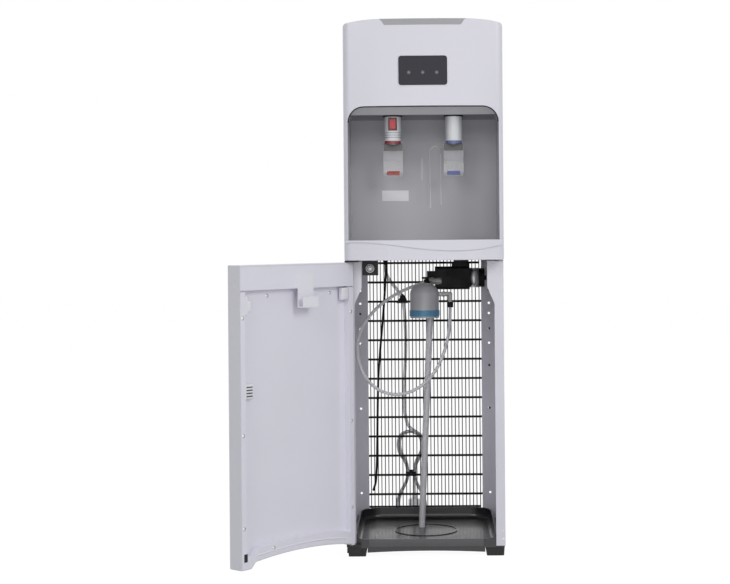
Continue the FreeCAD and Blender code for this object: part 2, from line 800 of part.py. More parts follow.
def rear_cover():
    """The moulded back of the head: a shallow pan with louvres and two switch holes."""
    half = SIDE_X - FIT
    outer = box(-half, half, REAR_Y, REAR_Y + REAR_COVER_DEPTH, SHELF_UNDER, LID_BOTTOM + 4)
    outer = rounded(outer, 10.0, UP, lambda middle: middle.y > REAR_Y + 1)
    outer = rounded(
        outer, 6.0, RIGHT, lambda middle: middle.y > REAR_Y + 1 and middle.z > LID_BOTTOM
    )
    wall = REAR_COVER_WALL
    inner = box(
        -half + wall,
        half - wall,
        REAR_Y - 1,
        REAR_Y + REAR_COVER_DEPTH - wall,
        SHELF_UNDER + wall,
        LID_BOTTOM + 4 - wall,
    )
    slots = []
    first = SHELF_TOP + 60
    for side in (-1, 1):
        for row in range(LOUVRE_ROWS):
            z = first + row * LOUVRE_PITCH
            x = side * 75
            slots.append(box(x - 50, x + 50, REAR_Y + 10, REAR_Y + 40, z, z + 5))
    for x, z in rocker_places():
        slots.append(
            box(
                x - ROCKER_WIDTH / 2 - FIT,
                x + ROCKER_WIDTH / 2 + FIT,
                REAR_Y + 10,
                REAR_Y + 40,
                z - ROCKER_HEIGHT / 2 - FIT,
                z + ROCKER_HEIGHT / 2 + FIT,
            )
        )
    slots.append(rod(gland_top(), V(0, 0, -1), GLAND_RADIUS, 2 * GLAND_INSIDE))
    cover = cut(outer, inner, *slots)
    return joined(cover, *[rocker_frame(x, z) for x, z in rocker_places()])


def rocker_places():
    return [(-ROCKER_X, ROCKER_AT), (ROCKER_X, ROCKER_AT)]


def gland_top():
    return V(GLAND_X, REAR_Y + CORD_BEHIND, SHELF_UNDER + GLAND_INSIDE)


def rocker(x, z):
    """One rocker switch, tilted about its own pin, with a shallow dish in its face."""
    y_face = REAR_Y + REAR_COVER_DEPTH
    pivot = V(x, y_face - 6, z)
    body = prism_yz(
        [
            (y_face - 8, z - 5),
            (y_face - 1, z - ROCKER_HEIGHT / 2 + 1.2),
            (y_face + 2.2, z - ROCKER_HEIGHT / 2 + 1.2),
            (y_face + 0.6, z),
            (y_face + 2.2, z + ROCKER_HEIGHT / 2 - 1.2),
            (y_face - 1, z + ROCKER_HEIGHT / 2 - 1.2),
            (y_face - 8, z + 5),
        ],
        x - ROCKER_WIDTH / 2 + FIT,
        x + ROCKER_WIDTH / 2 - FIT,
    )
    body = cut(body, rod(V(x - 20, y_face - 6, z), RIGHT, 1.5 + PIN_FIT, 40))
    body.rotate(pivot, RIGHT, ROCKER_TILT)
    return body


def rocker_frame(x, z):
    """The housing moulded behind the cover, with the pin that carries the rocker."""
    y_face = REAR_Y + REAR_COVER_DEPTH - REAR_COVER_WALL / 2
    half = ROCKER_WIDTH / 2 + 2.5
    tall = ROCKER_HEIGHT / 2 + 2.5
    frame = box(x - half, x + half, y_face - 14, y_face, z - tall, z + tall)
    hollow = box(
        x - ROCKER_WIDTH / 2 - FIT,
        x + ROCKER_WIDTH / 2 + FIT,
        y_face - 12,
        y_face + 1,
        z - ROCKER_HEIGHT / 2 - FIT,
        z + ROCKER_HEIGHT / 2 + FIT,
    )
    pin_y = REAR_Y + REAR_COVER_DEPTH - 6
    pin = rod(V(x - half + 1, pin_y, z), RIGHT, 1.5, 2 * half - 2)
    return joined(cut(frame, hollow), pin)


# --- drip tray -------------------------------------------------------------------


def drip_tray():
    """The lift-out tray, whose lip hooks over the waist and ends in a sweeping apron."""
    half = ALCOVE_HALF - SLIDE_FIT
    back = depth(ALCOVE_BACK - SLIDE_FIT)
    edge = FRONT_EDGE - HEAD_WALL - SLIDE_FIT
    low = ALCOVE_FLOOR + FIT
    lip_low = WAIST_TOP + FIT
    lip_top = lip_low + TRAY_LIP
    pan = crowned_block(-half, half, edge, back, low, lip_top, 0)
    hollow = crowned_block(
        -half + TRAY_WALL,
        half - TRAY_WALL,
        edge - TRAY_WALL,
        back - TRAY_WALL,
        low + TRAY_WALL,
        lip_top,
        0,
    )
    lip_edge = FRONT_EDGE + APRON_THICK + FIT
    lip = crowned_block(-half, half, lip_edge, depth(0), lip_low, lip_top, 0)
    ledge = crowned_block(
        -half, half, edge, back, lip_top - 2 * GRILLE_THICK, lip_top - GRILLE_THICK, 0
    )
    ledge_hole = crowned_block(
        -half + 3 * TRAY_WALL,
        half - 3 * TRAY_WALL,
        edge - 3 * TRAY_WALL,
        back - 3 * TRAY_WALL,
        low,
        lip_top,
        0,
    )
    pan = joined(cut(pan, hollow), cut(ledge, ledge_hole))
    lip = cut(lip, hollow)
    return joined(pan, lip, apron(lip_edge, lip_top))


def apron(edge, top):
    """The thin apron in front of the waist, deepest to the right of the middle."""
    inner_edge = edge - APRON_THICK
    shell = cut(
        crowned_block(-APRON_HALF, APRON_HALF, edge, depth(-20), SHELF_TOP, top, 0),
        crowned_block(-SIDE_X - 5, SIDE_X + 5, inner_edge, depth(0), SHELF_TOP, top + 1, 0),
    )
    y = depth(-100)
    left = V(-APRON_HALF - 5, y, 614.5)
    right = V(APRON_HALF + 5, y, 611.0)
    swoop = Part.BSplineCurve()
    swoop.interpolate([left, V(-66, y, 610.6), V(0, y, 602.0), V(65, y, 598.5), right])
    outline = [
        swoop.toShape(),
        Part.makeLine(right, V(APRON_HALF + 5, y, top)),
        Part.makeLine(V(APRON_HALF + 5, y, top), V(-APRON_HALF - 5, y, top)),
        Part.makeLine(V(-APRON_HALF - 5, y, top), left),
    ]
    mask = Part.Face(Part.Wire(outline)).extrude(V(0, 200, 0))
    return shell.common(mask)


def drip_grille():
    """The slotted plate that a glass stands on, set into the tray's ledge."""
    half = ALCOVE_HALF - SLIDE_FIT - TRAY_WALL - FIT
    edge = FRONT_EDGE - HEAD_WALL - SLIDE_FIT - TRAY_WALL - FIT
    back = depth(ALCOVE_BACK - SLIDE_FIT) - TRAY_WALL - FIT
    top = WAIST_TOP + FIT + TRAY_LIP
    plate = crowned_block(-half, half, edge, back, top - GRILLE_THICK, top, 0)
    slots = []
    pitch = GRILLE_SLOT_WIDTH + GRILLE_BAR
    first = -(GRILLE_SLOTS - 1) / 2 * pitch
    for row in range(2):
        y0 = depth(-22 + row * 55)
        for index in range(GRILLE_SLOTS):
            x = first + index * pitch
            slot = box(
                x - GRILLE_SLOT_WIDTH / 2,
                x + GRILLE_SLOT_WIDTH / 2,
                y0,
                y0 + 46,
                top - GRILLE_THICK,
                top,
            )
            slots.append(slot)
    return cut(plate, *slots)


# --- taps ------------------------------------------------------------------------


def tap_middle():
    return depth(TAP_FRONT + TAP_DEPTH / 2)


def tap_inlet_top():
    """Height of the top of a tap's inlet stub, which stands through the alcove's roof."""
    return ALCOVE_CEILING_FRONT + TAP_STUB


def tap_body(x):
    """One tap: a tapered housing under the alcove's roof, with the spout in its foot."""
    y0 = depth(TAP_FRONT)
    y1 = depth(TAP_FRONT + TAP_DEPTH)
    top = ALCOVE_TOP
    low = Part.makePolygon(rectangle(x, TAP_BOTTOM_WIDTH / 2, y0, y1, TAP_BOTTOM))
    high = Part.makePolygon(rectangle(x, TAP_TOP_WIDTH / 2, y0, y1, top))
    body = Part.makeLoft([low, high], True, True)
    sloped = [
        edge
        for edge in body.Edges
        if abs(edge.Vertexes[0].Z - edge.Vertexes[-1].Z) > 10
    ]
    body = body.makeFillet(TAP_CORNER, sloped)
    body = body.common(alcove_cavity(-FIT / 3))
    spout = rod(V(x, tap_middle(), TAP_BOTTOM - NOZZLE_LENGTH), UP, NOZZLE_RADIUS, NOZZLE_LENGTH + 1)
    bore = rod(V(x, tap_middle(), TAP_BOTTOM - NOZZLE_LENGTH), UP, NOZZLE_RADIUS - 2, 20)
    hinge_y = pin_depth()
    hinge = rod(V(x - 6, hinge_y, PADDLE_PIN_HEIGHT), RIGHT, PADDLE_EAR, 12)
    web = box(x - 6, x + 6, y1 - 2, hinge_y, PADDLE_PIN_HEIGHT - 3, PADDLE_PIN_HEIGHT + PADDLE_EAR)
    pin_bore = rod(V(x - 20, hinge_y, PADDLE_PIN_HEIGHT), RIGHT, PADDLE_PIN_RADIUS + PIN_FIT, 40)
    stub_low = tap_inlet_top() - TAP_STUB - 4
    stub = rod(V(x, tap_middle(), stub_low), UP, HOSE_RADIUS, TAP_STUB + 4)
    return cut(joined(body, spout, hinge, web, stub), bore, pin_bore)


def pin_depth():
    return depth(TAP_FRONT + TAP_DEPTH + PADDLE_PIN_GAP)


def rectangle(x, half, y0, y1, z):
    return [
        V(x - half, y0, z),
        V(x + half, y0, z),
        V(x + half, y1, z),
        V(x - half, y1, z),
        V(x - half, y0, z),
    ]


def nozzle_ring(x):
    """The coloured collar under a tap that tells hot from cold."""
    half = TAP_BOTTOM_WIDTH / 2
    y0 = depth(TAP_FRONT)
    y1 = depth(TAP_FRONT + TAP_DEPTH)
    ring = box(x - half, x + half, y0, y1, TAP_BOTTOM - NOZZLE_RING_HEIGHT, TAP_BOTTOM)
    ring = rounded(ring, TAP_CORNER, UP)
    inner = rod(V(x, tap_middle(), TAP_BOTTOM - NOZZLE_RING_HEIGHT), UP, NOZZLE_RADIUS + FIT / 3, 10)
    return cut(ring, inner)


def paddle(x):
    """A lever that hangs behind the spout and swings back when a glass pushes it."""
    pin_y = pin_depth()
    half = PADDLE_WIDTH / 2
    top = PADDLE_PIN_HEIGHT - PADDLE_EAR - 2
    plate_y = pin_y + 1
    plate = prism_yz(
        [
            (plate_y, PADDLE_BOTTOM + 8),
            (plate_y - 3, PADDLE_BOTTOM),
            (plate_y - 3 + PADDLE_THICK, PADDLE_BOTTOM),
            (plate_y + PADDLE_THICK, PADDLE_BOTTOM + 8),
            (plate_y + PADDLE_THICK, top),
            (plate_y, top),
        ],
        x - half,
        x + half,
    )
    plate = rounded(plate, 4.0, BACK, lambda middle: middle.z < PADDLE_BOTTOM + 0.1)
    ears = []
    for side in (-1, 1):
        ear_x = x + side * 9.5 - 3
        ears.append(rod(V(ear_x, pin_y, PADDLE_PIN_HEIGHT), RIGHT, PADDLE_EAR, 6))
        ears.append(
            box(ear_x, ear_x + 6, plate_y, plate_y + PADDLE_THICK, top - 4, PADDLE_PIN_HEIGHT)
        )
    lever = joined(plate, *ears)
    pin_bore = rod(V(x - 20, pin_y, PADDLE_PIN_HEIGHT), RIGHT, PADDLE_PIN_RADIUS + PIN_FIT, 40)
    return cut(lever, pin_bore)


def lock_block(grow, y0, y1):
    return prism_xz(
        [
            (-TAP_X - LOCK_WIDTH_BOTTOM / 2 - grow, LOCK_BOTTOM - grow),
            (-TAP_X + LOCK_WIDTH_BOTTOM / 2 + grow, LOCK_BOTTOM - grow),
            (-TAP_X + LOCK_WIDTH_TOP / 2 + grow, LOCK_TOP + grow),
            (-TAP_X - LOCK_WIDTH_TOP / 2 - grow, LOCK_TOP + grow),
        ],
        y0,
        y1,
    )


def lock_button():
    y0 = depth(TAP_FRONT) - LOCK_PROUD
    button = lock_block(0, y0, depth(TAP_FRONT) + 4)
    return button.makeFillet(1.5, [e for e in button.Edges if e.BoundBox.YMax < y0 + 0.01])


# --- door ------------------------------------------------------------------------


def arch_cut(rise):
    """The space under the door's bottom edge, raised in the middle, moved up by rise."""
    y = FRONT_Y - 100
    start = V(-SIDE_X + 10, y, DOOR_BOTTOM + 3 + rise)
    crest = V(0, y, DOOR_BOTTOM + 16 + rise)
    shoulder = V(DOOR_RIGHT - 36, y, DOOR_BOTTOM + 11 + rise)
    foot = V(DOOR_RIGHT - 24, y, DOOR_BOTTOM + rise)
    under = V(0, 0, -10 - rise)
    outline = [
        Part.Arc(start, crest, shoulder).toShape(),
        Part.makePolygon([shoulder, foot, foot + under, V(start.x, y, foot.z) + under, start]),
    ]
    edges = [edge for shape in outline for edge in shape.Edges]
    return Part.Face(Part.Wire(Part.__sortEdges__(edges))).extrude(V(0, 200, 0))


def door_block(inset, z0, z1, back):
    return crowned_block(
        -SIDE_X + inset,
        DOOR_RIGHT - inset,
        DOOR_THICK + DOOR_GAP - inset,
        back,
        z0,
        z1,
        max(HEAD_CORNER - 4 - inset, 0),
    )


def opened(shape):
    """The same piece, turned with the open door about its hinge pins."""
    turned = shape.copy()
    turned.rotate(V(HINGE_X, depth(-HINGE_OUT), 0), UP, -DOOR_OPEN)
    return turned


def door_skin():
    """The folded sheet outside of the door. Its hinge edge is cut back to clear the flange."""
    back = depth(-DOOR_GAP)
    outer = cut(door_block(0, DOOR_BOTTOM, DOOR_TOP, back), arch_cut(0))
    inner = cut(
        door_block(DOOR_SKIN, DOOR_BOTTOM + DOOR_SKIN, DOOR_TOP + 1, back + 1), arch_cut(DOOR_SKIN)
    )
    pin_hole = hinge_rod(DOOR_BOTTOM - 1, HINGE_PIN + PIN_FIT, 5)
    hinge_edge = box(
        -SIDE_X, -SIDE_X + DOOR_SKIN, back - HINGE_EDGE_RELIEF, back, DOOR_BOTTOM, DOOR_TOP
    )
    return cut(outer, inner, pin_hole, hinge_edge)


def hinge_rod(z, radius, length):
    return rod(V(HINGE_X, depth(-HINGE_OUT), z), UP, radius, length)


def door_inner_panel():
    """The moulded inside of the door: a rim, a flush band at the top and a sunk field."""
    inset = DOOR_SKIN + FIT / 3
    y0 = depth(-DOOR_GAP - PANEL_THICK)
    y1 = depth(-DOOR_GAP)
    left = -SIDE_X + inset
    right = DOOR_RIGHT - inset
    slab = box(left, right, y0, y1, DOOR_BOTTOM + inset, DOOR_TOP - DOOR_CAP - FIT / 3)
    slab = cut(slab, arch_cut(inset))
    pocket = box(
        left + PANEL_RIM,
        right - PANEL_RIM,
        y1 - PANEL_POCKET,
        y1 + 1,
        DOOR_BOTTOM + PANEL_POCKET_RISE,
        PANEL_POCKET_TOP,
    )
    pocket = rounded(pocket, PANEL_POCKET_CORNER, BACK, lambda middle: middle.z < DOOR_TOP / 2)
    pocket = cut(pocket, arch_cut(PANEL_POCKET_RISE))
    groove = box(
        left,
        right,
        y1 - PANEL_GROOVE_DEPTH,
        y1,
        PANEL_POCKET_TOP - PANEL_GROOVE,
        PANEL_POCKET_TOP,
    )
    bores = [
        hinge_rod(DOOR_BOTTOM, HINGE_PIN + PIN_FIT, HINGE_PIN_LENGTH + 2),
        hinge_rod(DOOR_TOP - HINGE_PIN_LENGTH - 2, HINGE_PIN + PIN_FIT, HINGE_PIN_LENGTH + 4),
    ]
    for x, z, sunk in door_screw_places():
        bores.append(rod(V(x, y1 - sunk - 8, z), BACK, 1.6, 10))
        seat = V(x, y1 - sunk - DOOR_SCREW_SINK, z)
        bores.append(rod(seat, BACK, DOOR_SCREW_HEAD + FIT, DOOR_SCREW_SINK + 1))
    return cut(slab, pocket, groove, *bores)


def door_screw_places():
    """X and Z of each screw, and how far its place is sunk in the inner panel."""
    left = -SIDE_X + DOOR_SKIN + PANEL_RIM / 2
    right = DOOR_RIGHT - DOOR_SKIN - PANEL_RIM / 2
    places = []
    for z in (101.0, 269.0, 481.0):
        places += [(left, z, 0), (right, z, 0)]
    places += [(70.0, 56.0, 0), (-100.0, 519.0, PANEL_POCKET), (70.0, 519.0, PANEL_POCKET)]
    return places


def door_screws():
    """Pan-head screws, sunk in the inner panel, that hold it to the skin."""
    screws = []
    for x, z, sunk in door_screw_places():
        y = depth(-DOOR_GAP) - sunk
        dome = DOOR_SCREW_HEAD * 1.4
        head = Part.makeSphere(dome, V(x, y + DOOR_SCREW_PROUD - dome, z))
        seat = V(x, y - DOOR_SCREW_SINK, z)
        head = head.common(rod(seat, BACK, DOOR_SCREW_HEAD, DOOR_SCREW_SINK + 1))
        shank = rod(V(x, y - 7.5, z), BACK, 1.5, 7)
        screws.append(joined(head, shank))
    return screws


def door_top_cap():
    inset = DOOR_SKIN + FIT / 3
    cap = door_block(inset, DOOR_TOP - DOOR_CAP, DOOR_TOP, depth(-DOOR_GAP))
    return cut(cap, hinge_rod(DOOR_TOP - DOOR_CAP - 1, HINGE_PIN + PIN_FIT, DOOR_CAP + 2))


def probe_hanger():
    """The folded hook inside the door that the probe hangs on while a bottle is changed."""
    y = depth(-DOOR_GAP)
    x0 = HANGER_LEFT
    x1 = HANGER_LEFT + HANGER_WIDTH
    plate = box(x0, x1, y, y + HANGER_SHEET, HANGER_BOTTOM, HANGER_TOP)
    ledge = box(x0, x1, y, y + HANGER_REACH, HANGER_BOTTOM, HANGER_BOTTOM + HANGER_SHEET)
    lip_y = y + HANGER_REACH - HANGER_SHEET
    lip = box(x0, x1, lip_y, lip_y + HANGER_SHEET, HANGER_BOTTOM, HANGER_BOTTOM + HANGER_LIP)
    return joined(plate, ledge, lip)


def hinge_brackets():
    """The two hinge plates, each with its pin, under the deck and on the base's lip."""
    x0 = -SIDE_X
    x1 = HINGE_X + 22
    top_low = SHELF_UNDER - HINGE_PLATE
    top = box(x0, x1, depth(-HINGE_OUT - 10), FRONT_Y, top_low, SHELF_UNDER)
    root = box(x0 + SHEET + FIT, x1, FRONT_Y, depth(30), top_low, SHELF_UNDER)
    pin = hinge_rod(top_low - HINGE_PIN_LENGTH, HINGE_PIN, HINGE_PIN_LENGTH)
    top = joined(top, root, pin)
    low_top = DOOR_BOTTOM - DOOR_GAP
    low = box(x0, x1, depth(-HINGE_OUT - 10), FRONT_Y, low_top - HINGE_PLATE, low_top)
    tab = box(x0, x1, FRONT_Y - HINGE_PLATE, FRONT_Y, SIDE_BOTTOM - 12, low_top)
    low = joined(low, tab, hinge_rod(low_top, HINGE_PIN, HINGE_PIN_LENGTH - 1))
    return top, low


def switch_block():
    """The black housing under the deck that tells the board whether the door is shut."""
    half = SWITCH_WIDTH / 2
    low = SHELF_UNDER - SWITCH_HEIGHT - HINGE_PLATE
    block = box(
        SWITCH_X - half,
        SWITCH_X + half,
        depth(SWITCH_FRONT),
        depth(SWITCH_FRONT + SWITCH_LENGTH),
        low,
        SHELF_UNDER,
    )
    bore = rod(V(SWITCH_X, depth(SWITCH_FRONT), switch_axis()), BACK, PLUNGER_RADIUS + 0.2, 14)
    return cut(block, bore)


def switch_axis():
    return SHELF_UNDER - HINGE_PLATE - SWITCH_HEIGHT / 2 + 0.5


def switch_plunger():
    start = V(SWITCH_X, depth(SWITCH_FRONT - PLUNGER_PROUD), switch_axis())
    button = rod(start, BACK, PLUNGER_RADIUS, PLUNGER_PROUD + 9)
    button = button.makeChamfer(1.2, [e for e in button.Edges if e.BoundBox.YMax < start.y + 0.01])
    return cut(button, rod(start, BACK, PLUNGER_RADIUS - 4, 0.8))


# --- condenser -------------------------------------------------------------------


def condenser_heights():
    heights = [CONDENSER_TOP - index * CONDENSER_PITCH for index in range(CONDENSER_PASSES)]
    return heights + [heights[-1] - CONDENSER_LAST_PITCH]


def condenser_y():
    return REAR_Y + CONDENSER_BEHIND


def condenser_tube():
    """One serpentine of tube, its passes joined by half turns behind the rear flanges."""
    y = condenser_y()
    heights = condenser_heights()
    edges = []
    side = 1
    for index, height in enumerate(heights):
        start = V(side * CONDENSER_HALF, y, height)
        end = V(-side * CONDENSER_HALF, y, height)
        edges.append(Part.makeLine(start, end))
        if index + 1 < len(heights):
            below = heights[index + 1]
            bend = (height - below) / 2
            middle = V(-side * (CONDENSER_HALF + bend), y, height - bend)
            edges.append(Part.Arc(end, middle, V(end.x, y, below)).toShape())
        side = -side
    return sweep(Part.Wire(edges), CONDENSER_TUBE, "condenser")


def condenser_wires():
    """Upright wires welded to the tube, by turns on its front and its back."""
    heights = condenser_heights()
    low = heights[-1] - WIRE_OVERHANG
    length = heights[0] + WIRE_OVERHANG - low
    first = -(WIRE_COUNT - 1) / 2 * WIRE_PITCH
    reach = CONDENSER_TUBE + WIRE_RADIUS
    wires = []
    for index in range(WIRE_COUNT):
        side = -1 if index % 2 else 1
        at = V(first + index * WIRE_PITCH, condenser_y() + side * reach, low)
        wires.append(rod(at, UP, WIRE_RADIUS, length))
    return wires


def condenser_brackets():
    """Clips that carry the tube's half turns on the rear flanges."""
    clips = []
    front = REAR_Y
    back = condenser_y() - CONDENSER_TUBE
    heights = condenser_heights()
    for side in (-1, 1):
        for index in (1, 5, 9):
            offset = 0 if side < 0 else 1
            middle = (heights[index - 1 + offset] + heights[index + offset]) / 2
            x_outer = side * (CONDENSER_HALF + CONDENSER_PITCH / 2)
            x_low, x_high = sorted((x_outer - 6, x_outer + 6))
            clips.append(box(x_low, x_high, front, back, middle - 9, middle + 9))
    return clips


def refrigerant_pipe():
    """The black pipe that comes down from the compressor to the condenser's last bend."""
    points = [
        (RISER_X, depth(COMPRESSOR_DEPTH + COMPRESSOR_RADIUS + 2.3), RISER_TOP),
        (RISER_X, depth(RISER_DEPTH - 10), RISER_TOP),
        (RISER_X, depth(RISER_DEPTH), RISER_TOP - 20),
        (RISER_X - 0.4, depth(RISER_DEPTH + 0.5), RISER_TOP - 54),
        (RISER_X, depth(RISER_DEPTH), SHELF_UNDER - 6),
        (-85, depth(RISER_DEPTH + 1), 510),
        (-89.8, depth(RISER_DEPTH), 448),
        (-95.5, depth(RISER_DEPTH + 0.6), 390),
        (-100.6, depth(RISER_DEPTH), 327),
        (-102.4, depth(RISER_DEPTH + 0.5), 262),
        (-103.6, depth(RISER_DEPTH), 196),
        (-105, depth(RISER_DEPTH + 0.6), 136),
        (-107.5, depth(RISER_DEPTH + 3), 98),
        (-113.5, depth(RISER_DEPTH + 9), 80),
    ]
    return tube(points, CONDENSER_TUBE, "refrigerant pipe")


# --- pump, hose and probe --------------------------------------------------------


def pump_body():
    """The pump head with its stepped valve block, pressure switch and inlet stub."""
    y = depth(PUMP_DEPTH)
    half = PUMP_SIZE / 2
    low = PUMP_AXIS - half
    high = PUMP_AXIS + half
    x1 = PUMP_LEFT + PUMP_BODY
    body = box(PUMP_LEFT, x1, y - half, y + half, low, high)
    body = rounded(body, 5.0, RIGHT)
    step = box(PUMP_LEFT + 36, x1, y - half + 4, y + half - 4, high - 4, high + PUMP_STEP)
    step = rounded(step, 4.0, UP)
    head_low = PUMP_AXIS - 8.5
    head_high = PUMP_AXIS + 14.5
    head = box(
        PUMP_LEFT - 17, PUMP_LEFT + 1, y - PUMP_HEAD_HALF, y + PUMP_HEAD_HALF, head_low, head_high
    )
    nub = rod(V(PUMP_LEFT - 28, y, PUMP_AXIS), RIGHT, 2.2, 12)
    ribs = []
    for index in range(4):
        x = PUMP_LEFT + 6 + index * 8
        ribs.append(box(x, x + 3, y - half - 1.5, y + half + 1.5, low + 4, high - 4))
    outlet = rod(V(PUMP_OUTLET_X, y, high + PUMP_STEP - 2), UP, HOSE_RADIUS, 6)
    return joined(body, step, head, nub, outlet, *ribs)


def pump_motor():
    x0 = PUMP_LEFT + PUMP_BODY
    y = depth(PUMP_DEPTH)
    can = rod(V(x0, y, PUMP_AXIS), RIGHT, PUMP_MOTOR_RADIUS, PUMP_MOTOR_LENGTH)
    can = can.makeFillet(2.0, [e for e in can.Edges if e.BoundBox.XMin > x0 + 1])
    nub = rod(V(x0 + PUMP_MOTOR_LENGTH - 1, y, PUMP_AXIS), RIGHT, 5.0, 5.0)
    return joined(can, nub)


def pump_bracket():
    """Rubber-footed saddle between the pump's step and the deck."""
    y = depth(PUMP_DEPTH)
    low = PUMP_AXIS + PUMP_SIZE / 2 + PUMP_STEP
    x0 = PUMP_LEFT + 40
    x1 = PUMP_LEFT + PUMP_BODY - 4
    saddle = box(x0, x1, y - 30, y + 30, low, SHELF_UNDER)
    return cut(saddle, rod(V(PUMP_OUTLET_X, y, low - 1), UP, 6.0, SHELF_UNDER - low + 2))


SUCTION_POINTS = [
    (53.4, PROBE_DEPTH, FITTING_HEIGHT - 16.5),
    (53.4, PROBE_DEPTH, FITTING_HEIGHT - 43.5),
    (51.5, 200, 434),
    (46.5, 195, 406),
    (38, 192, 379),
    (26, 190, 353),
    (10, 188.5, 331),
    (-11, 187.8, 313),
    (-36, 187.8, 301),
    (-64, 188, 297.5),
    (-92, 189.5, 304.5),
    (-115.5, 192, 322),
    (-132, 195, 347),
    (-140.5, 198, 377),
    (-140.5, 202, 408),
    (-131, 206, 437),
    (-112, 211.5, 466),
    (-83.5, PUMP_DEPTH - HOSE_END_AHEAD - 15, PUMP_AXIS - 46.5),
    (-50, PUMP_DEPTH - HOSE_END_AHEAD - 7, PUMP_AXIS - 27),
    (-19.5, PUMP_DEPTH - HOSE_END_AHEAD - 1, PUMP_AXIS - 15),
    (10.5, PUMP_DEPTH - HOSE_END_AHEAD, PUMP_AXIS - 5),
]


def hose_end():
    """Where the suction hose meets the pump's elbow, and the direction it arrives in."""
    before, last = [V(x, depth(d), z) for x, d, z in SUCTION_POINTS[-2:]]
    return last, (last - before).normalize()


def inlet_elbow():
    """The translucent barbed elbow in front of the pump head."""
    start, along = hose_end()
    turned = start + along * ELBOW_ARM
    arm = rod(start, along, ELBOW_RADIUS, ELBOW_ARM)
    stem = rod(turned, BACK, ELBOW_RADIUS, depth(PUMP_DEPTH) - PUMP_HEAD_HALF - turned.y)
    ball = Part.makeSphere(ELBOW_RADIUS + 0.6, turned)
    collar = rod(start + along * 0.3, along, ELBOW_RADIUS + 1.4, 2)
    return joined(arm, stem, ball, collar)


def suction_hose():
    points = [(x, depth(d), z) for x, d, z in SUCTION_POINTS]
    return tube(points, HOSE_RADIUS, "suction hose")


def probe_cap():
    """The domed cap that closes on the bottle's neck."""
    y = depth(PROBE_DEPTH)
    radius = PROBE_CAP_RADIUS
    profile = [
        V(0, y, PROBE_TOP),
        V(7, y, PROBE_TOP),
    ]
    dome = Part.Arc(V(7, y, PROBE_TOP), V(23.5, y, PROBE_TOP - 7.5), V(radius, y, PROBE_SHOULDER))
    edges = [
        Part.makeLine(profile[0], profile[1]),
        dome.toShape(),
        Part.makeLine(V(radius, y, PROBE_SHOULDER), V(radius, y, PROBE_RING_TOP)),
        Part.makePolygon(
            [
                V(radius, y, PROBE_RING_TOP),
                V(radius - PROBE_RING_THICK, y, PROBE_RING_TOP),
                V(radius - PROBE_RING_THICK, y, PROBE_RING_BOTTOM),
                V(radius, y, PROBE_RING_BOTTOM),
                V(radius, y, PROBE_RIM_BOTTOM),
                V(0, y, PROBE_RIM_BOTTOM),
                V(0, y, PROBE_TOP),
            ]
        ),
    ]
    face = Part.Face(Part.Wire(Part.__sortEdges__([e for o in edges for e in o.Edges])))
    cap = face.revolve(V(0, y, 0), UP, 360)
    bore = radius - PROBE_CAP_WALL - PROBE_RING_THICK
    hollow = rod(V(0, y, PROBE_RIM_BOTTOM - 1), UP, bore, PROBE_SHOULDER - PROBE_RIM_BOTTOM - 3)
    socket_at = probe_point(PROBE_SHOULDER - 20)
    socket = rod(socket_at, probe_direction(), PROBE_TUBE_RADIUS + 2.5, 30)
    fitting_hole = rod(V(0, y, FITTING_HEIGHT), RIGHT, 5.0, 60)
    cap = joined(cut(cap, hollow), socket.common(rod(V(0, y, PROBE_RIM_BOTTOM), UP, bore, 60)))
    tube_hole = rod(probe_point(PROBE_RIM_BOTTOM - 5), probe_direction(), PROBE_TUBE_RADIUS + FIT / 3, 50)
    return cut(cap, tube_hole, fitting_hole.common(box(20, 60, y - 10, y + 10, 480, 530)))


def probe_direction():
    rise = PROBE_RIM_BOTTOM - BASE_FLOOR_TOP
    return V(PROBE_TUBE_TOP_X - PROBE_TUBE_BOTTOM_X, 0, rise).normalize()


def probe_point(height):
    direction = probe_direction()
    foot = V(PROBE_TUBE_BOTTOM_X, depth(PROBE_DEPTH), BASE_FLOOR_TOP)
    return foot + direction * ((height - BASE_FLOOR_TOP) / direction.z)


def probe_ring():
    at = V(0, depth(PROBE_DEPTH), PROBE_RING_BOTTOM)
    tall = PROBE_RING_TOP - PROBE_RING_BOTTOM
    return cut(
        rod(at, UP, PROBE_CAP_RADIUS + 0.4, tall),
        rod(at, UP, PROBE_CAP_RADIUS - PROBE_RING_THICK, tall),
    )


def probe_tube():
    """The stiff tube that reaches to the bottle's bottom, with slots in its foot."""
    direction = probe_direction()
    top = probe_point(PROBE_RIM_BOTTOM + 43)
    foot = probe_point(BASE_FLOOR_TOP - 1)
    pipe = rod(foot, direction, PROBE_TUBE_RADIUS, (top - foot).Length)
    bore = rod(foot, direction, PROBE_TUBE_RADIUS - 1.5, (top - foot).Length - 6)
    y = depth(PROBE_DEPTH)
    below = box(-40, 40, y - 20, y + 20, -10, BASE_FLOOR_TOP)
    slots = [
        box(-40, 40, y - 1.5, y + 1.5, BASE_FLOOR_TOP - 5, BASE_FLOOR_TOP + 18),
    ]
    return cut(pipe, bore, below, *slots)


def probe_fitting():
    """The barbed elbow that takes the water out of the cap and turns down to the hose."""
    y = depth(PROBE_DEPTH)
    start = V(26.5, y, FITTING_HEIGHT)
    arm = rod(start, RIGHT, 4.7, 26.9)
    corner = V(53.4, y, FITTING_HEIGHT)
    ball = Part.makeSphere(4.9, corner)
    end = V(SUCTION_POINTS[0][0], depth(SUCTION_POINTS[0][1]), SUCTION_POINTS[0][2])
    run = end - corner
    stem = rod(corner, V(run).normalize(), 4.5, run.Length)
    collar = rod(V(38, y, FITTING_HEIGHT), RIGHT, 6.0, 4)
    return joined(arm, ball, stem, collar)


def clamp(at, along, outer):
    """A black grip round the hose end."""
    direction = V(along).normalize()
    start = at - direction * 2
    return cut(rod(start, direction, outer, 11), rod(start, direction, HOSE_RADIUS + 0.05, 11))


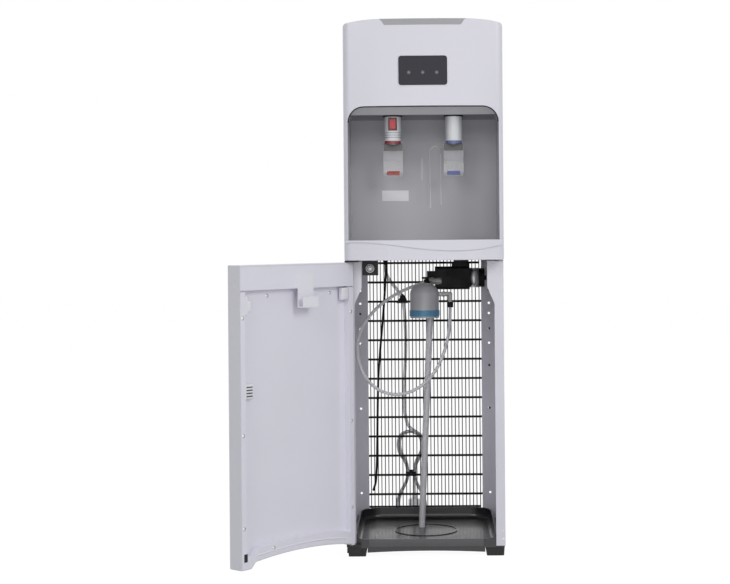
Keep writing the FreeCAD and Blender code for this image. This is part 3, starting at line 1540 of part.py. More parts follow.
def hose_clamps():
    first = [V(x, depth(d), z) for x, d, z in SUCTION_POINTS[:2]]
    last = [V(x, depth(d), z) for x, d, z in SUCTION_POINTS[-2:]]
    lower = (first[1] - first[0]).normalize()
    upper = (last[0] - last[1]).normalize()
    return [
        clamp(first[0] + lower * 2, lower, 6.4),
        clamp(last[1] + upper * 2, upper, 6.0),
    ]


# --- tanks and compressor --------------------------------------------------------


def compressor():
    """The sealed compressor: a two-part shell on a foot plate with four ears."""
    y = depth(COMPRESSOR_DEPTH)
    low = SHELF_TOP + GROMMET_HEIGHT
    shell = rod(V(COMPRESSOR_X, y, low + 3), UP, COMPRESSOR_RADIUS, COMPRESSOR_HEIGHT - 25)
    dome = Part.makeSphere(90, V(COMPRESSOR_X, y, low + COMPRESSOR_HEIGHT - 90))
    dome = dome.common(
        rod(V(COMPRESSOR_X, y, low + 60), UP, COMPRESSOR_RADIUS, COMPRESSOR_HEIGHT - 60)
    )
    seam = rod(V(COMPRESSOR_X, y, low + 70), UP, COMPRESSOR_RADIUS + 2, 5)
    plate = box(COMPRESSOR_X - 68, COMPRESSOR_X + 68, y - 48, y + 48, low, low + 3)
    stub = rod(V(RISER_X, y + COMPRESSOR_RADIUS - 8, RISER_TOP), BACK, 4.0, 9)
    holes = [rod(V(x, hole_y, low - 1), UP, 4.0, 6) for x, hole_y in grommet_places()]
    return cut(joined(shell, dome, seam, plate, stub), *holes)


def grommet_places():
    y = depth(COMPRESSOR_DEPTH)
    return [
        (COMPRESSOR_X + side * 62, y + end * 42)
        for side in (-1, 1)
        for end in (-1, 1)
    ]


def compressor_grommets():
    """Rubber grommets with their studs, which keep the compressor off the deck."""
    grommets = []
    for x, y in grommet_places():
        base = rod(V(x, y, SHELF_TOP), UP, 8.0, GROMMET_HEIGHT)
        neck = rod(V(x, y, SHELF_TOP), UP, 3.9, GROMMET_HEIGHT + 5)
        head = rod(V(x, y, SHELF_TOP + GROMMET_HEIGHT + 3), UP, 7.0, 3)
        grommets.append(joined(base, neck, head))
    return grommets


def hot_tank():
    at = V(HOT_TANK_X, depth(HOT_TANK_DEPTH), SHELF_TOP)
    tank = rod(at, UP, HOT_TANK_RADIUS, HOT_TANK_HEIGHT)
    tank = tank.makeFillet(6.0, [e for e in tank.Edges if e.BoundBox.ZMin > SHELF_TOP + 1])
    outlet = rod(at + UP * (HOT_TANK_HEIGHT - 1), UP, 4.0, 11)
    heater = rod(at + V(0, -HOT_TANK_RADIUS + 2, 30), V(0, -1, 0), 12.0, 12)
    return joined(tank, outlet, heater)


def tank_shelf():
    """The folded shelf across the head that carries the cold tank."""
    half = SIDE_X - SHEET - FIT / 3
    front = depth(ALCOVE_BACK + 12)
    back = REAR_Y - SHEET - FIT / 3
    low = TANK_SHELF_TOP - SHELF_SHEET
    shelf = box(-half, half, front, back, low, TANK_SHELF_TOP)
    lip = box(-half, half, front, front + SHELF_SHEET, low - 14, low + 0.5)
    holes = [
        rod(V(HOT_TANK_X, depth(HOT_TANK_DEPTH), low), UP, 7.0, 5),
        rod(V(COLD_INLET_X, depth(COLD_INLET_DEPTH), low), UP, 7.0, 5),
    ]
    return cut(joined(shelf, lip), *holes)


def cold_tank():
    y = depth(COLD_TANK_DEPTH)
    low = TANK_SHELF_TOP + INSULATION_WALL
    tank = rod(V(0, y, low), UP, COLD_TANK_RADIUS, COLD_TANK_HEIGHT)
    tank = tank.makeFillet(8.0, [e for e in tank.Edges if len(e.Vertexes) == 1])
    inlet = rod(
        V(COLD_INLET_X, depth(COLD_INLET_DEPTH), TANK_SHELF_TOP - 12), UP, 4.0, INSULATION_WALL + 14
    )
    outlet = rod(V(COLD_OUTLET_X, depth(128), COLD_OUTLET_HEIGHT), BACK, 4.0, 42)
    return joined(tank, inlet, outlet)


def cold_tank_insulation():
    """The foam block round the cold tank."""
    y = depth(COLD_TANK_DEPTH)
    half = COLD_TANK_RADIUS + INSULATION_WALL
    high = TANK_SHELF_TOP + 2 * INSULATION_WALL + COLD_TANK_HEIGHT
    block = box(-half, half, y - half, y + half, TANK_SHELF_TOP, high)
    block = rounded(block, 18.0, UP)
    low = TANK_SHELF_TOP + INSULATION_WALL
    hollow = rod(V(0, y, low), UP, COLD_TANK_RADIUS + FIT / 3, COLD_TANK_HEIGHT + FIT / 3)
    inlet = rod(V(COLD_INLET_X, depth(COLD_INLET_DEPTH), TANK_SHELF_TOP - 1), UP, 4.5, 30)
    outlet = rod(V(COLD_OUTLET_X, depth(120), COLD_OUTLET_HEIGHT), BACK, 4.5, 50)
    return cut(block, hollow, inlet, outlet)


def water_hoses():
    """Hoses from pump to cold tank, from cold tank to cold tap and from hot tank to hot tap."""
    fill = [
        (PUMP_OUTLET_X, depth(PUMP_DEPTH), 576.2),
        (PUMP_OUTLET_X, depth(PUMP_DEPTH), 634),
        (PUMP_OUTLET_X - 3, depth(PUMP_DEPTH + 2), 690),
        (PUMP_OUTLET_X - 20, depth(PUMP_DEPTH - 4), 738),
        (COLD_INLET_X, depth(COLD_INLET_DEPTH), 764),
        (COLD_INLET_X, depth(COLD_INLET_DEPTH), TANK_SHELF_TOP - 12.1),
    ]
    tap_top = tap_inlet_top()
    cold = [
        (COLD_OUTLET_X, depth(127.9), COLD_OUTLET_HEIGHT),
        (COLD_OUTLET_X, depth(98), COLD_OUTLET_HEIGHT),
        (50, depth(62), COLD_OUTLET_HEIGHT + 1),
        (TAP_X, depth(32), COLD_OUTLET_HEIGHT - 2),
        (TAP_X, tap_middle(), COLD_OUTLET_HEIGHT - 16),
        (TAP_X, tap_middle(), tap_top),
    ]
    high = COLD_OUTLET_HEIGHT + 30
    hot_start = SHELF_TOP + HOT_TANK_HEIGHT + 10.1
    hot = [
        (HOT_TANK_X, depth(HOT_TANK_DEPTH), hot_start),
        (HOT_TANK_X, depth(HOT_TANK_DEPTH), hot_start + 50),
        (HOT_TANK_X + 1, depth(HOT_TANK_DEPTH), hot_start + 106),
        (HOT_TANK_X - 2, depth(HOT_TANK_DEPTH - 22), high),
        (HOT_TANK_X - 12, depth(106), high + 6),
        (48, depth(72), high + 8),
        (0, depth(48), high + 6),
        (-40, depth(34), high + 2),
        (-TAP_X + 0.8, tap_middle() + 0.6, high - 16),
        (-TAP_X, tap_middle(), high - 42),
        (-TAP_X, tap_middle(), tap_top),
    ]
    return [
        tube(fill, HOSE_RADIUS, "fill hose"),
        tube(cold, HOSE_RADIUS, "cold hose"),
        tube(hot, HOSE_RADIUS, "hot hose"),
    ]


# --- power cord ------------------------------------------------------------------

CORD_Y = REAR_Y + CORD_BEHIND
CORD_POINTS = [
    (GLAND_X, CORD_Y, SHELF_UNDER - GLAND_LENGTH),
    (GLAND_X, CORD_Y, 551.0),
    (-79.0, CORD_Y - 0.4, 537.0),
    (-69.5, CORD_Y, 524.0),
    (-59.0, CORD_Y + 0.3, 511.0),
    (-50.0, CORD_Y, 497.0),
    (-44.5, CORD_Y, 477.0),
    (-42.5, CORD_Y - 0.3, 448.0),
    (-41.0, CORD_Y, 403.0),
    (-42.5, CORD_Y + 0.5, 355.0),
    (-45.5, CORD_Y, 308.0),
    (-47.0, CORD_Y - 0.4, 268.0),
    (-44.0, CORD_Y, 238.0),
    (-37.5, CORD_Y, 214.0),
]


def cord_gland():
    """The tapered strain relief in the floor of the rear cover."""
    top = gland_top()
    down = V(0, 0, -1)
    collar = rod(top, down, GLAND_RADIUS - FIT / 6, GLAND_INSIDE)
    taper_top = V(top.x, top.y, SHELF_UNDER)
    taper = cone(taper_top, down, GLAND_RADIUS, CORD_RADIUS + 0.8, GLAND_LENGTH)
    flange = rod(taper_top, down, GLAND_RADIUS + 1.2, 2)
    return joined(collar, taper, flange)


def cord_clip():
    """The black clip on the condenser's wires that steers the cord."""
    front = condenser_y() + CONDENSER_TUBE + 2 * WIRE_RADIUS
    back = CORD_Y + CORD_RADIUS + 2.5
    x, z = CORD_POINTS[5][0], CORD_POINTS[5][2]
    block = prism_xz([(x - 11, z - 15), (x + 14, z - 15), (x + 9, z - 1), (x + 2, z + 6)], front, back)
    return cut(block, tube(CORD_POINTS, CORD_RADIUS + 0.15, "clip bore"))


def hank_stations():
    """Places and directions round the hank: lobes above and below one drawn-in waist."""
    down = V(0, 0, -1)
    last = V(*CORD_POINTS[-1])
    along = (last - V(*CORD_POINTS[-2])).normalize()
    stations = [(last, along), (last + along * 2 * CORD_RADIUS, along)]
    for loop in range(HANK_LOOPS):
        y = CORD_Y + loop * HANK_STEP
        spread = HANK_SPREAD * loop
        half = HANK_TOP_HALF - spread
        lower = HANK_LOW_HALF - spread
        top = HANK_TOP - spread
        low = HANK_BOTTOM + CORD_RADIUS + 2 * spread
        next_half = half - HANK_SPREAD
        next_top = top - HANK_SPREAD
        stations += [
            (V(HANK_X + half, y, top - half), down),
            (V(HANK_X + HANK_WAIST_HALF, y, HANK_WAIST), down),
            (V(HANK_X + lower, y, low + lower), down),
            (V(HANK_X, y, low), V(-1, 0, 0)),
            (V(HANK_X - lower, y, low + lower), UP),
            (V(HANK_X - HANK_WAIST_HALF, y, HANK_WAIST), UP),
            (V(HANK_X - next_half, y + HANK_STEP, next_top - next_half), UP),
            (V(HANK_X, y + HANK_STEP, next_top), RIGHT),
        ]
    y = CORD_Y + HANK_LOOPS * HANK_STEP
    half = HANK_TOP_HALF - HANK_SPREAD * HANK_LOOPS
    top = HANK_TOP - HANK_SPREAD * HANK_LOOPS
    tail = plug_top()
    stations += [
        (V(HANK_X + half, y, top - half), down),
        (V(HANK_X + HANK_WAIST_HALF, y, HANK_WAIST), down),
        (tail + UP * 2 * CORD_RADIUS, down),
        (tail, down),
    ]
    return stations


def plug_top():
    y = CORD_Y + HANK_LOOPS * HANK_STEP + PLUG_THICK / 2 - 1
    return V(HANK_X + HANK_WAIST_HALF, y, PLUG_TOP)


def cord_hank():
    stations = hank_stations()
    edges = []
    for (start, along), (end, end_along) in zip(stations, stations[1:]):
        edges += biarc(start, along, end, end_along)
    wire = Part.Wire(edges)
    print("hank length", round(wire.Length, 1), "least gap", round(least_gap(wire), 2))
    return sweep(wire, CORD_RADIUS, "hank")


def least_gap(wire):
    """The least clear space between any two stretches of the same cord."""
    points = wire.discretize(Number=int(wire.Length / 2.5))
    step = wire.Length / (len(points) - 1)
    apart = int(6 * CORD_RADIUS / step)
    nearest = min(
        (points[i] - points[j]).Length
        for i in range(len(points))
        for j in range(i + apart, len(points))
    )
    return nearest - 2 * CORD_RADIUS


def cord_tie():
    """The band that draws the hank in at its waist."""
    room = CORD_RADIUS + FIT
    x0 = HANK_X - HANK_WAIST_HALF - room
    x1 = HANK_X + HANK_WAIST_HALF + room
    y0 = CORD_Y - room
    y1 = CORD_Y + HANK_LOOPS * HANK_STEP + room + 1.5
    low = HANK_WAIST - TIE_HEIGHT / 2
    high = HANK_WAIST + TIE_HEIGHT / 2
    outer = box(x0 - TIE_WALL, x1 + TIE_WALL, y0 - TIE_WALL, y1 + TIE_WALL, low, high)
    inner = box(x0, x1, y0, y1, low - 1, high + 1)
    return cut(rounded(outer, 3.5, UP), rounded(inner, 2.5, UP))


def plug():
    """The moulded plug at the cord's end, pins down."""
    top = plug_top()
    waist = top - UP * PLUG_BODY * 0.4
    neck = cone(top, V(0, 0, -1), CORD_RADIUS + 0.8, 7.0, PLUG_BODY * 0.4)
    body = box(
        top.x - PLUG_WIDTH / 2,
        top.x + PLUG_WIDTH / 2,
        top.y - PLUG_THICK / 2,
        top.y + PLUG_THICK / 2,
        top.z - PLUG_BODY,
        waist.z + 1,
    )
    body = rounded(body, 5.0, UP)
    body = body.makeFillet(2.0, [e for e in body.Edges if e.BoundBox.ZMin > waist.z])
    pins = [
        rod(V(top.x + side * 7, top.y, top.z - PLUG_BODY + 1), V(0, 0, -1), 2.2, PLUG_PIN + 1)
        for side in (-1, 1)
    ]
    return joined(neck, body, *pins)


def main():
    os.makedirs("parts", exist_ok=True)
    right = side_panel()
    save("right_side_panel", right)
    save("left_side_panel", mirrored(right))
    save("base_tray", base_tray())
    save("feet", *feet())
    save("mid_shelf", mid_shelf())
    save("head_fascia", head_fascia())
    save("alcove_liner", alcove_liner())
    save("top_cover", top_cover())
    save("top_insert", top_insert())
    save("display_window", display_window())
    save("indicator_lights", *light_rods(LIGHT_RADIUS))
    save("control_board", control_board())
    save("rear_cover", rear_cover())
    for name, (x, z) in zip(("hot_switch", "cold_switch"), rocker_places()):
        save(name, rocker(x, z))
    save("drip_tray", drip_tray())
    save("drip_grille", drip_grille())
    lock_slot = lock_block(LOCK_FIT, depth(TAP_FRONT) - 20, depth(TAP_FRONT) + 8)
    save("hot_tap_body", cut(tap_body(-TAP_X), lock_slot))
    save("cold_tap_body", tap_body(TAP_X))
    save("hot_nozzle_ring", nozzle_ring(-TAP_X))
    save("cold_nozzle_ring", nozzle_ring(TAP_X))
    save("hot_paddle", paddle(-TAP_X))
    save("cold_paddle", paddle(TAP_X))
    pins = [
        rod(V(x - 13, pin_depth(), PADDLE_PIN_HEIGHT), RIGHT, PADDLE_PIN_RADIUS, 26)
        for x in (-TAP_X, TAP_X)
    ]
    save("paddle_pins", *pins)
    save("child_lock_button", lock_button())
    save("door_skin", opened(door_skin()))
    save("door_inner_panel", opened(door_inner_panel()))
    save("door_top_cap", opened(door_top_cap()))
    save("door_screws", *[opened(screw) for screw in door_screws()])
    save("probe_hanger", opened(probe_hanger()))
    save("hinge_brackets", *hinge_brackets())
    save("switch_block", switch_block())
    save("switch_plunger", switch_plunger())
    save("condenser_tube", condenser_tube())
    save("condenser_wires", *condenser_wires())
    save("condenser_brackets", *condenser_brackets())
    save("refrigerant_pipe", refrigerant_pipe())
    save("pump_body", pump_body())
    save("pump_motor", pump_motor())
    save("pump_bracket", pump_bracket())
    save("inlet_elbow", inlet_elbow())
    save("suction_hose", suction_hose())
    save("hose_clamps", *hose_clamps())
    save("probe_cap", probe_cap())
    save("probe_ring", probe_ring())
    save("probe_tube", probe_tube())
    save("probe_fitting", probe_fitting())
    save("compressor", compressor())
    save("compressor_grommets", *compressor_grommets())
    save("hot_tank", hot_tank())
    save("tank_shelf", tank_shelf())
    save("cold_tank", cold_tank())
    save("cold_tank_insulation", cold_tank_insulation())
    save("water_hoses", *water_hoses())
    save("cord_gland", cord_gland())
    save("cord_clip", cord_clip())
    save("power_cord", tube(CORD_POINTS, CORD_RADIUS, "power cord"))
    save("cord_hank", cord_hank())
    save("cord_tie", cord_tie())
    save("plug", plug())


main()
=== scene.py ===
import bpy
import bmesh
import math

from mathutils import Matrix, Vector


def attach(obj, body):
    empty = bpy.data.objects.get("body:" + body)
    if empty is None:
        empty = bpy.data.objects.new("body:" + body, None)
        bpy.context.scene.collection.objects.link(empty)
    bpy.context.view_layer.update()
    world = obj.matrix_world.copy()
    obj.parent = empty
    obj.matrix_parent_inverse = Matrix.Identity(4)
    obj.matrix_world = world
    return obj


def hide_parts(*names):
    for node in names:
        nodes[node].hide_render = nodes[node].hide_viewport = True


# The dressed water cooler, in metres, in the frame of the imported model: X to the right of
# someone facing it, Y to the back, Z up, the origin on the floor under the cabinet.

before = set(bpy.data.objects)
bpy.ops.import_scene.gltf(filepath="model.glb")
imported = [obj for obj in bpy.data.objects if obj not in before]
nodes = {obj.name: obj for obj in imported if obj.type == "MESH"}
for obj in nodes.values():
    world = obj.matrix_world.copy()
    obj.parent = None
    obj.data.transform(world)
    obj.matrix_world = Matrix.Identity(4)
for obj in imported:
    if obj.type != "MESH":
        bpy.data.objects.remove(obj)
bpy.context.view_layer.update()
scene = bpy.context.scene

FRONT_Y = -0.1575
HINGE = Vector((-0.150, FRONT_Y - 0.012, 0))
DOOR_OPEN = math.radians(129)
CORD_Y = 0.1765
HANK_X = -32
HANK_TURNS = 3
TURN_PITCH = 7.8
LEAD_RADIUS = 0.0035
HOSE_RADIUS = 0.0032

# distances behind the front flanges and heights, in millimetres
ALCOVE_BACK = 95
PUMP_DEPTH = 262
TAP_DEPTH = 22
PADDLE_DEPTH = 47
PROBE_DEPTH = 205
ROOF = 864.5
PANEL_DROP = 0.4
BACK = (0, 1, 0)

# --- camera ----------------------------------------------------------------------

FOCAL_PIXELS = 1584
IMAGE_WIDTH = 730
IMAGE_HEIGHT = 584
AXIS_PIXEL = (424, 236)
EYE_HEIGHT = 0.627
EYE_DISTANCE = 3.100
ROLL = math.radians(-0.45)

camera_data = bpy.data.cameras.new("camera")
camera_data.sensor_width = 36
camera_data.lens = 36 * FOCAL_PIXELS / IMAGE_WIDTH
camera_data.shift_x = (IMAGE_WIDTH / 2 - AXIS_PIXEL[0]) / IMAGE_WIDTH
camera_data.shift_y = (AXIS_PIXEL[1] - IMAGE_HEIGHT / 2) / IMAGE_WIDTH
camera = bpy.data.objects.new("camera", camera_data)
scene.collection.objects.link(camera)
upright = Matrix.Rotation(math.pi / 2, 4, "X") @ Matrix.Rotation(ROLL, 4, "Z")
camera.matrix_world = Matrix.Translation((0, FRONT_Y - EYE_DISTANCE, EYE_HEIGHT)) @ upright
scene.camera = camera

# --- materials -------------------------------------------------------------------

COAT_ROUGHNESS = 0.15
GRAIN_DEPTH = 0.0004
WAVE_DEPTH = 0.01
WAVE_SCALE = 5.0
NOISE_LOW = 0.35
NOISE_HIGH = 0.65


def material(name):
    made = bpy.data.materials.new(name)
    made.use_nodes = True
    tree = made.node_tree
    tree.nodes.clear()
    output = tree.nodes.new("ShaderNodeOutputMaterial")
    shader = tree.nodes.new("ShaderNodeBsdfPrincipled")
    tree.links.new(shader.outputs["BSDF"], output.inputs["Surface"])
    return made, tree, shader


def noise(tree, scale, detail=3.0, stretch=(1, 1, 1)):
    """A noise in the piece's own coordinates, drawn out along its axes by stretch."""
    place = tree.nodes.new("ShaderNodeTexCoord")
    mapping = tree.nodes.new("ShaderNodeMapping")
    mapping.inputs["Scale"].default_value = stretch
    texture = tree.nodes.new("ShaderNodeTexNoise")
    texture.inputs["Scale"].default_value = scale
    texture.inputs["Detail"].default_value = detail
    tree.links.new(place.outputs["Object"], mapping.inputs["Vector"])
    tree.links.new(mapping.outputs["Vector"], texture.inputs["Vector"])
    return texture


def ramp(tree, source, stops):
    """A colour ramp from (position, colour) stops."""
    made = tree.nodes.new("ShaderNodeValToRGB")
    for _ in range(len(stops) - 2):
        made.color_ramp.elements.new(0.5)
    for element, (position, colour) in zip(made.color_ramp.elements, stops):
        element.position = position
        element.color = (*colour, 1)
    tree.links.new(source, made.inputs["Fac"])
    return made.outputs["Color"]


def spread(tree, source, low, high):
    """The middle of a noise stretched from low to high."""
    made = tree.nodes.new("ShaderNodeMapRange")
    made.inputs["From Min"].default_value = NOISE_LOW
    made.inputs["From Max"].default_value = NOISE_HIGH
    made.inputs["To Min"].default_value = low
    made.inputs["To Max"].default_value = high
    tree.links.new(source, made.inputs["Value"])
    return made.outputs["Result"]


def shade(colour, factor):
    return tuple(min(channel * factor, 1) for channel in colour)


def finish(
    name,
    colour,
    rough=0.4,
    vary=0.05,
    patch=7.0,
    grain=900.0,
    bump=0.08,
    metal=0.0,
    coat=0.0,
    clear=0.0,
    stretch=(1, 1, 1),
    wave=0.0,
    gloss=0.5,
):
    """A moulded, painted or drawn surface: mottled colour and gloss, a fine grain, soft waves."""
    made, tree, shader = material(name)
    shader.inputs["Metallic"].default_value = metal
    shader.inputs["Specular IOR Level"].default_value = gloss
    shader.inputs["Coat Weight"].default_value = coat
    shader.inputs["Coat Roughness"].default_value = COAT_ROUGHNESS
    shader.inputs["Transmission Weight"].default_value = clear
    large = noise(tree, patch, 4, stretch).outputs["Fac"]
    small = noise(tree, grain, 2, stretch).outputs["Fac"]
    tone = ramp(tree, large, [(0.3, shade(colour, 1 - vary)), (0.7, shade(colour, 1 + vary))])
    tree.links.new(tone, shader.inputs["Base Color"])
    tree.links.new(spread(tree, large, rough * 0.85, rough * 1.2), shader.inputs["Roughness"])
    bumps = tree.nodes.new("ShaderNodeBump")
    bumps.inputs["Strength"].default_value = bump
    bumps.inputs["Distance"].default_value = GRAIN_DEPTH
    tree.links.new(small, bumps.inputs["Height"])
    if wave:
        swell = tree.nodes.new("ShaderNodeBump")
        swell.inputs["Strength"].default_value = wave
        swell.inputs["Distance"].default_value = WAVE_DEPTH
        long_noise = noise(tree, WAVE_SCALE, 1, (1, 1, 0.25))
        tree.links.new(long_noise.outputs["Fac"], swell.inputs["Height"])
        tree.links.new(swell.outputs["Normal"], bumps.inputs["Normal"])
    tree.links.new(bumps.outputs["Normal"], shader.inputs["Normal"])
    return made


painted = finish("painted white", (0.70, 0.69, 0.75), 0.32, 0.02, grain=500, bump=0.05, coat=0.3)
moulded = finish("moulded white", (0.71, 0.70, 0.76), 0.30, 0.015, bump=0.04, coat=0.25)
door_paint = finish("door white", (0.68, 0.67, 0.72), 0.30, 0.02, grain=500, bump=0.05, coat=0.3)
# painted light: the lining's white is lighter than the head's, standing in for light the open
# door's lining does not get
door_lining_lit = finish("door lining painted light", (0.78, 0.77, 0.84), 0.34, 0.02, bump=0.06, coat=0.2, wave=0.12)
insert_grey = finish("insert grey", (0.37, 0.37, 0.38), 0.45, 0.04)
alcove_grey = finish("alcove grey", (0.42, 0.42, 0.44), 0.36, 0.03, bump=0.06, coat=0.15)
trim_dark = finish("trim dark", (0.012, 0.012, 0.013), 0.5, 0.08, bump=0.03, gloss=0.2)
lip_grey = finish("lip grey", (0.66, 0.66, 0.68), 0.4, 0.03, bump=0.05)
# painted shade: a darker grey than the liner's for the roof panel, standing in for the shade under
# the head
roof_shade_grey = finish("roof painted shade grey", (0.24, 0.24, 0.25), 0.5, 0.04, bump=0.05)
grille_grey = finish("grille grey", (0.45, 0.45, 0.47), 0.4, 0.04)
glass_dark = finish("display glass", (0.036, 0.036, 0.045), 0.25, 0.05, bump=0.0, gloss=0.15)
lens = finish("indicator lens", (0.24, 0.25, 0.28), 0.3, 0.05, bump=0.0, gloss=0.3)
board_green = finish("circuit board", (0.04, 0.20, 0.09), 0.4, 0.1, patch=60)
tap_silver = finish(
    "tap silver", (0.60, 0.61, 0.63), 0.34, 0.03, grain=1500, bump=0.05, metal=0.12, coat=0.35
)
hot_red = finish("hot red", (0.20, 0.012, 0.015), 0.3, 0.06, bump=0.02, coat=0.3)
button_dark = finish("button dark", (0.11, 0.004, 0.008), 0.35, 0.06, bump=0.02, coat=0.2)
lock_red = finish("lock red", (0.54, 0.062, 0.066), 0.35, 0.05, bump=0.02)
cold_blue = finish("cold blue", (0.085, 0.12, 0.27), 0.3, 0.06, bump=0.02, coat=0.3)
bar_red = finish("bar red", (0.36, 0.032, 0.018), 0.4, 0.10, bump=0.02)
bar_blue = finish("bar blue", (0.10, 0.125, 0.37), 0.4, 0.10, bump=0.02)
smoked = finish("smoked clear", (0.88, 0.88, 0.89), 0.10, 0.03, bump=0.02, clear=0.93)
# painted reflection: the grey of the pane on each paddle
reflection_grey = finish("painted reflection grey", (0.42, 0.42, 0.44), 0.4, 0.10, patch=40, bump=0.05)
# painted shade: the dark grey of the upper pane under each tap
shadowed = finish("shadowed clear", (0.16, 0.155, 0.15), 0.3, 0.05, bump=0.03)
steel = finish(
    "drawn steel", (0.60, 0.60, 0.61), 0.3, 0.06, patch=30, metal=1.0, stretch=(1, 1, 12)
)
zinc = finish("zinc plate", (0.60, 0.60, 0.61), 0.36, 0.08, patch=90, metal=0.85, bump=0.1)
hanger_white = finish("hanger white", (0.80, 0.79, 0.84), 0.28, 0.02, bump=0.03, coat=0.3)
base_black = finish(
    "base black", (0.014, 0.014, 0.016), 0.32, 0.10, bump=0.03, coat=0.45, gloss=0.5
)
foot_black = finish("foot black", (0.010, 0.010, 0.011), 0.42, 0.15, bump=0.15, gloss=0.4)
switch_black = finish("switch black", (0.010, 0.010, 0.011), 0.42, 0.12, bump=0.1, gloss=0.25)
plunger_grey = finish("plunger grey", (0.66, 0.66, 0.67), 0.35, 0.05)
enamel = finish("black enamel", (0.006, 0.006, 0.007), 0.35, 0.15, patch=60, bump=0.1, gloss=0.2)
pump_black = finish(
    "pump black", (0.0045, 0.0045, 0.004), 0.42, 0.15, patch=40, bump=0.2, gloss=0.15
)
rubber = finish("black rubber", (0.010, 0.010, 0.010), 0.62, 0.15, bump=0.25, gloss=0.25)
silicone = finish("silicone", (0.86, 0.86, 0.88), 0.3, 0.04, bump=0.03, clear=0.3, coat=0.2)
clear_grey = finish("clear grey", (0.62, 0.63, 0.61), 0.25, 0.06, bump=0.03, clear=0.45, coat=0.3)
probe_grey = finish("probe grey", (0.68, 0.68, 0.70), 0.32, 0.04, bump=0.03, coat=0.2, clear=0.22)
probe_blue = finish("probe blue", (0.115, 0.32, 0.50), 0.34, 0.06, bump=0.03, coat=0.1)
probe_white = finish("probe white", (0.93, 0.93, 0.94), 0.35, 0.03, bump=0.03, clear=0.35)
foam = finish("foam", (0.82, 0.82, 0.80), 0.8, 0.05, patch=80, grain=300, bump=0.6)
sheath = finish("cord sheath", (0.86, 0.86, 0.88), 0.40, 0.06, bump=0.1, clear=0.5)
rocker_red = finish("rocker red", (0.55, 0.03, 0.03), 0.25, 0.06, bump=0.02, coat=0.4)
rocker_green = finish("rocker green", (0.03, 0.30, 0.08), 0.25, 0.06, bump=0.02, coat=0.4)


NODE_FINISH = {
    "right_side_panel": painted,
    "left_side_panel": painted,
    "base_tray": base_black,
    "feet": foot_black,
    "mid_shelf": zinc,
    "head_fascia": moulded,
    "alcove_liner": alcove_grey,
    "top_cover": moulded,
    "top_insert": insert_grey,
    "display_window": glass_dark,
    "indicator_lights": lens,
    "control_board": board_green,
    "rear_cover": moulded,
    "hot_switch": rocker_red,
    "cold_switch": rocker_green,
    "drip_tray": moulded,
    "drip_grille": grille_grey,
    "hot_tap_body": tap_silver,
    "cold_tap_body": tap_silver,
    "hot_nozzle_ring": hot_red,
    "cold_nozzle_ring": cold_blue,
    "hot_paddle": smoked,
    "cold_paddle": smoked,
    "paddle_pins": steel,
    "child_lock_button": button_dark,
    "door_skin": door_paint,
    "door_inner_panel": door_lining_lit,
    "door_top_cap": moulded,
    "door_screws": zinc,
    "probe_hanger": hanger_white,
    "hinge_brackets": foot_black,
    "switch_block": switch_black,
    "switch_plunger": plunger_grey,
    "condenser_tube": enamel,
    "condenser_wires": enamel,
    "condenser_brackets": enamel,
    "refrigerant_pipe": rubber,
    "pump_body": pump_black,
    "pump_motor": pump_black,
    "pump_bracket": rubber,
    "inlet_elbow": clear_grey,
    "hose_clamps": rubber,
    "probe_cap": probe_grey,
    "probe_ring": probe_blue,
    "probe_tube": probe_white,
    "probe_fitting": clear_grey,
    "compressor": enamel,
    "compressor_grommets": rubber,
    "hot_tank": steel,
    "tank_shelf": zinc,
    "cold_tank": steel,
    "cold_tank_insulation": foam,
    "water_hoses": silicone,
    "cord_gland": switch_black,
    "cord_clip": switch_black,
    "cord_tie": switch_black,
    "plug": sheath,
}
for node_name, look in NODE_FINISH.items():
    mesh = nodes[node_name].data
    mesh.materials.clear()
    mesh.materials.append(look)

# --- helpers ---------------------------------------------------------------------


def mm(*values):
    return Vector([value / 1000 for value in values])


def behind(distance):
    """Y in millimetres of a place this far behind the front flanges."""
    return FRONT_Y * 1000 + distance


def swung(point):
    """Where a place on the shut door goes when the door stands open."""
    return Matrix.Rotation(-DOOR_OPEN, 3, "Z") @ (point - HINGE) + HINGE


def put(name, made, look, body):
    made.name = name
    if made.name not in scene.collection.objects:
        scene.collection.objects.link(made)
    made.data.materials.append(look)
    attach(made, body)
    return made


def from_bmesh(name, shape, smooth=True):
    mesh = bpy.data.meshes.new(name)
    shape.to_mesh(mesh)
    shape.free()
    if smooth:
        mesh.polygons.foreach_set("use_smooth", [True] * len(mesh.polygons))
    return bpy.data.objects.new(name, mesh)


def block(name, low, high, bevel, place=lambda point: point):
    """A box with rounded edges, from two corners, carried to its place by a function."""
    shape = bmesh.new()
    bmesh.ops.create_cube(shape, size=1)
    for vertex in shape.verts:
        for axis in range(3):
            middle = (low[axis] + high[axis]) / 2
            vertex.co[axis] = middle + vertex.co[axis] * (high[axis] - low[axis])
    bmesh.ops.bevel(
        shape, geom=shape.edges[:], offset=bevel, segments=3, affect="EDGES", profile=0.5
    )
    for vertex in shape.verts:
        vertex.co = place(vertex.co.copy())
    return from_bmesh(name, shape)


def lathe(name, profile, origin, axis, steps=48):
    """A turned piece from (radius, distance along axis) points in metres."""
    axis = Vector(axis).normalized()
    side = axis.orthogonal().normalized()
    other = axis.cross(side)
    shape = bmesh.new()
    rings = []
    for radius, along in profile:
        ring = []
        for step in range(steps):
            angle = 2 * math.pi * step / steps
            out = side * math.cos(angle) + other * math.sin(angle)
            ring.append(shape.verts.new(origin + axis * along + out * radius))
        rings.append(ring)
    for lower, upper in zip(rings, rings[1:]):
        for step in range(steps):
            after = (step + 1) % steps
            shape.faces.new((lower[step], lower[after], upper[after], upper[step]))
    bmesh.ops.recalc_face_normals(shape, faces=shape.faces)
    return from_bmesh(name, shape)


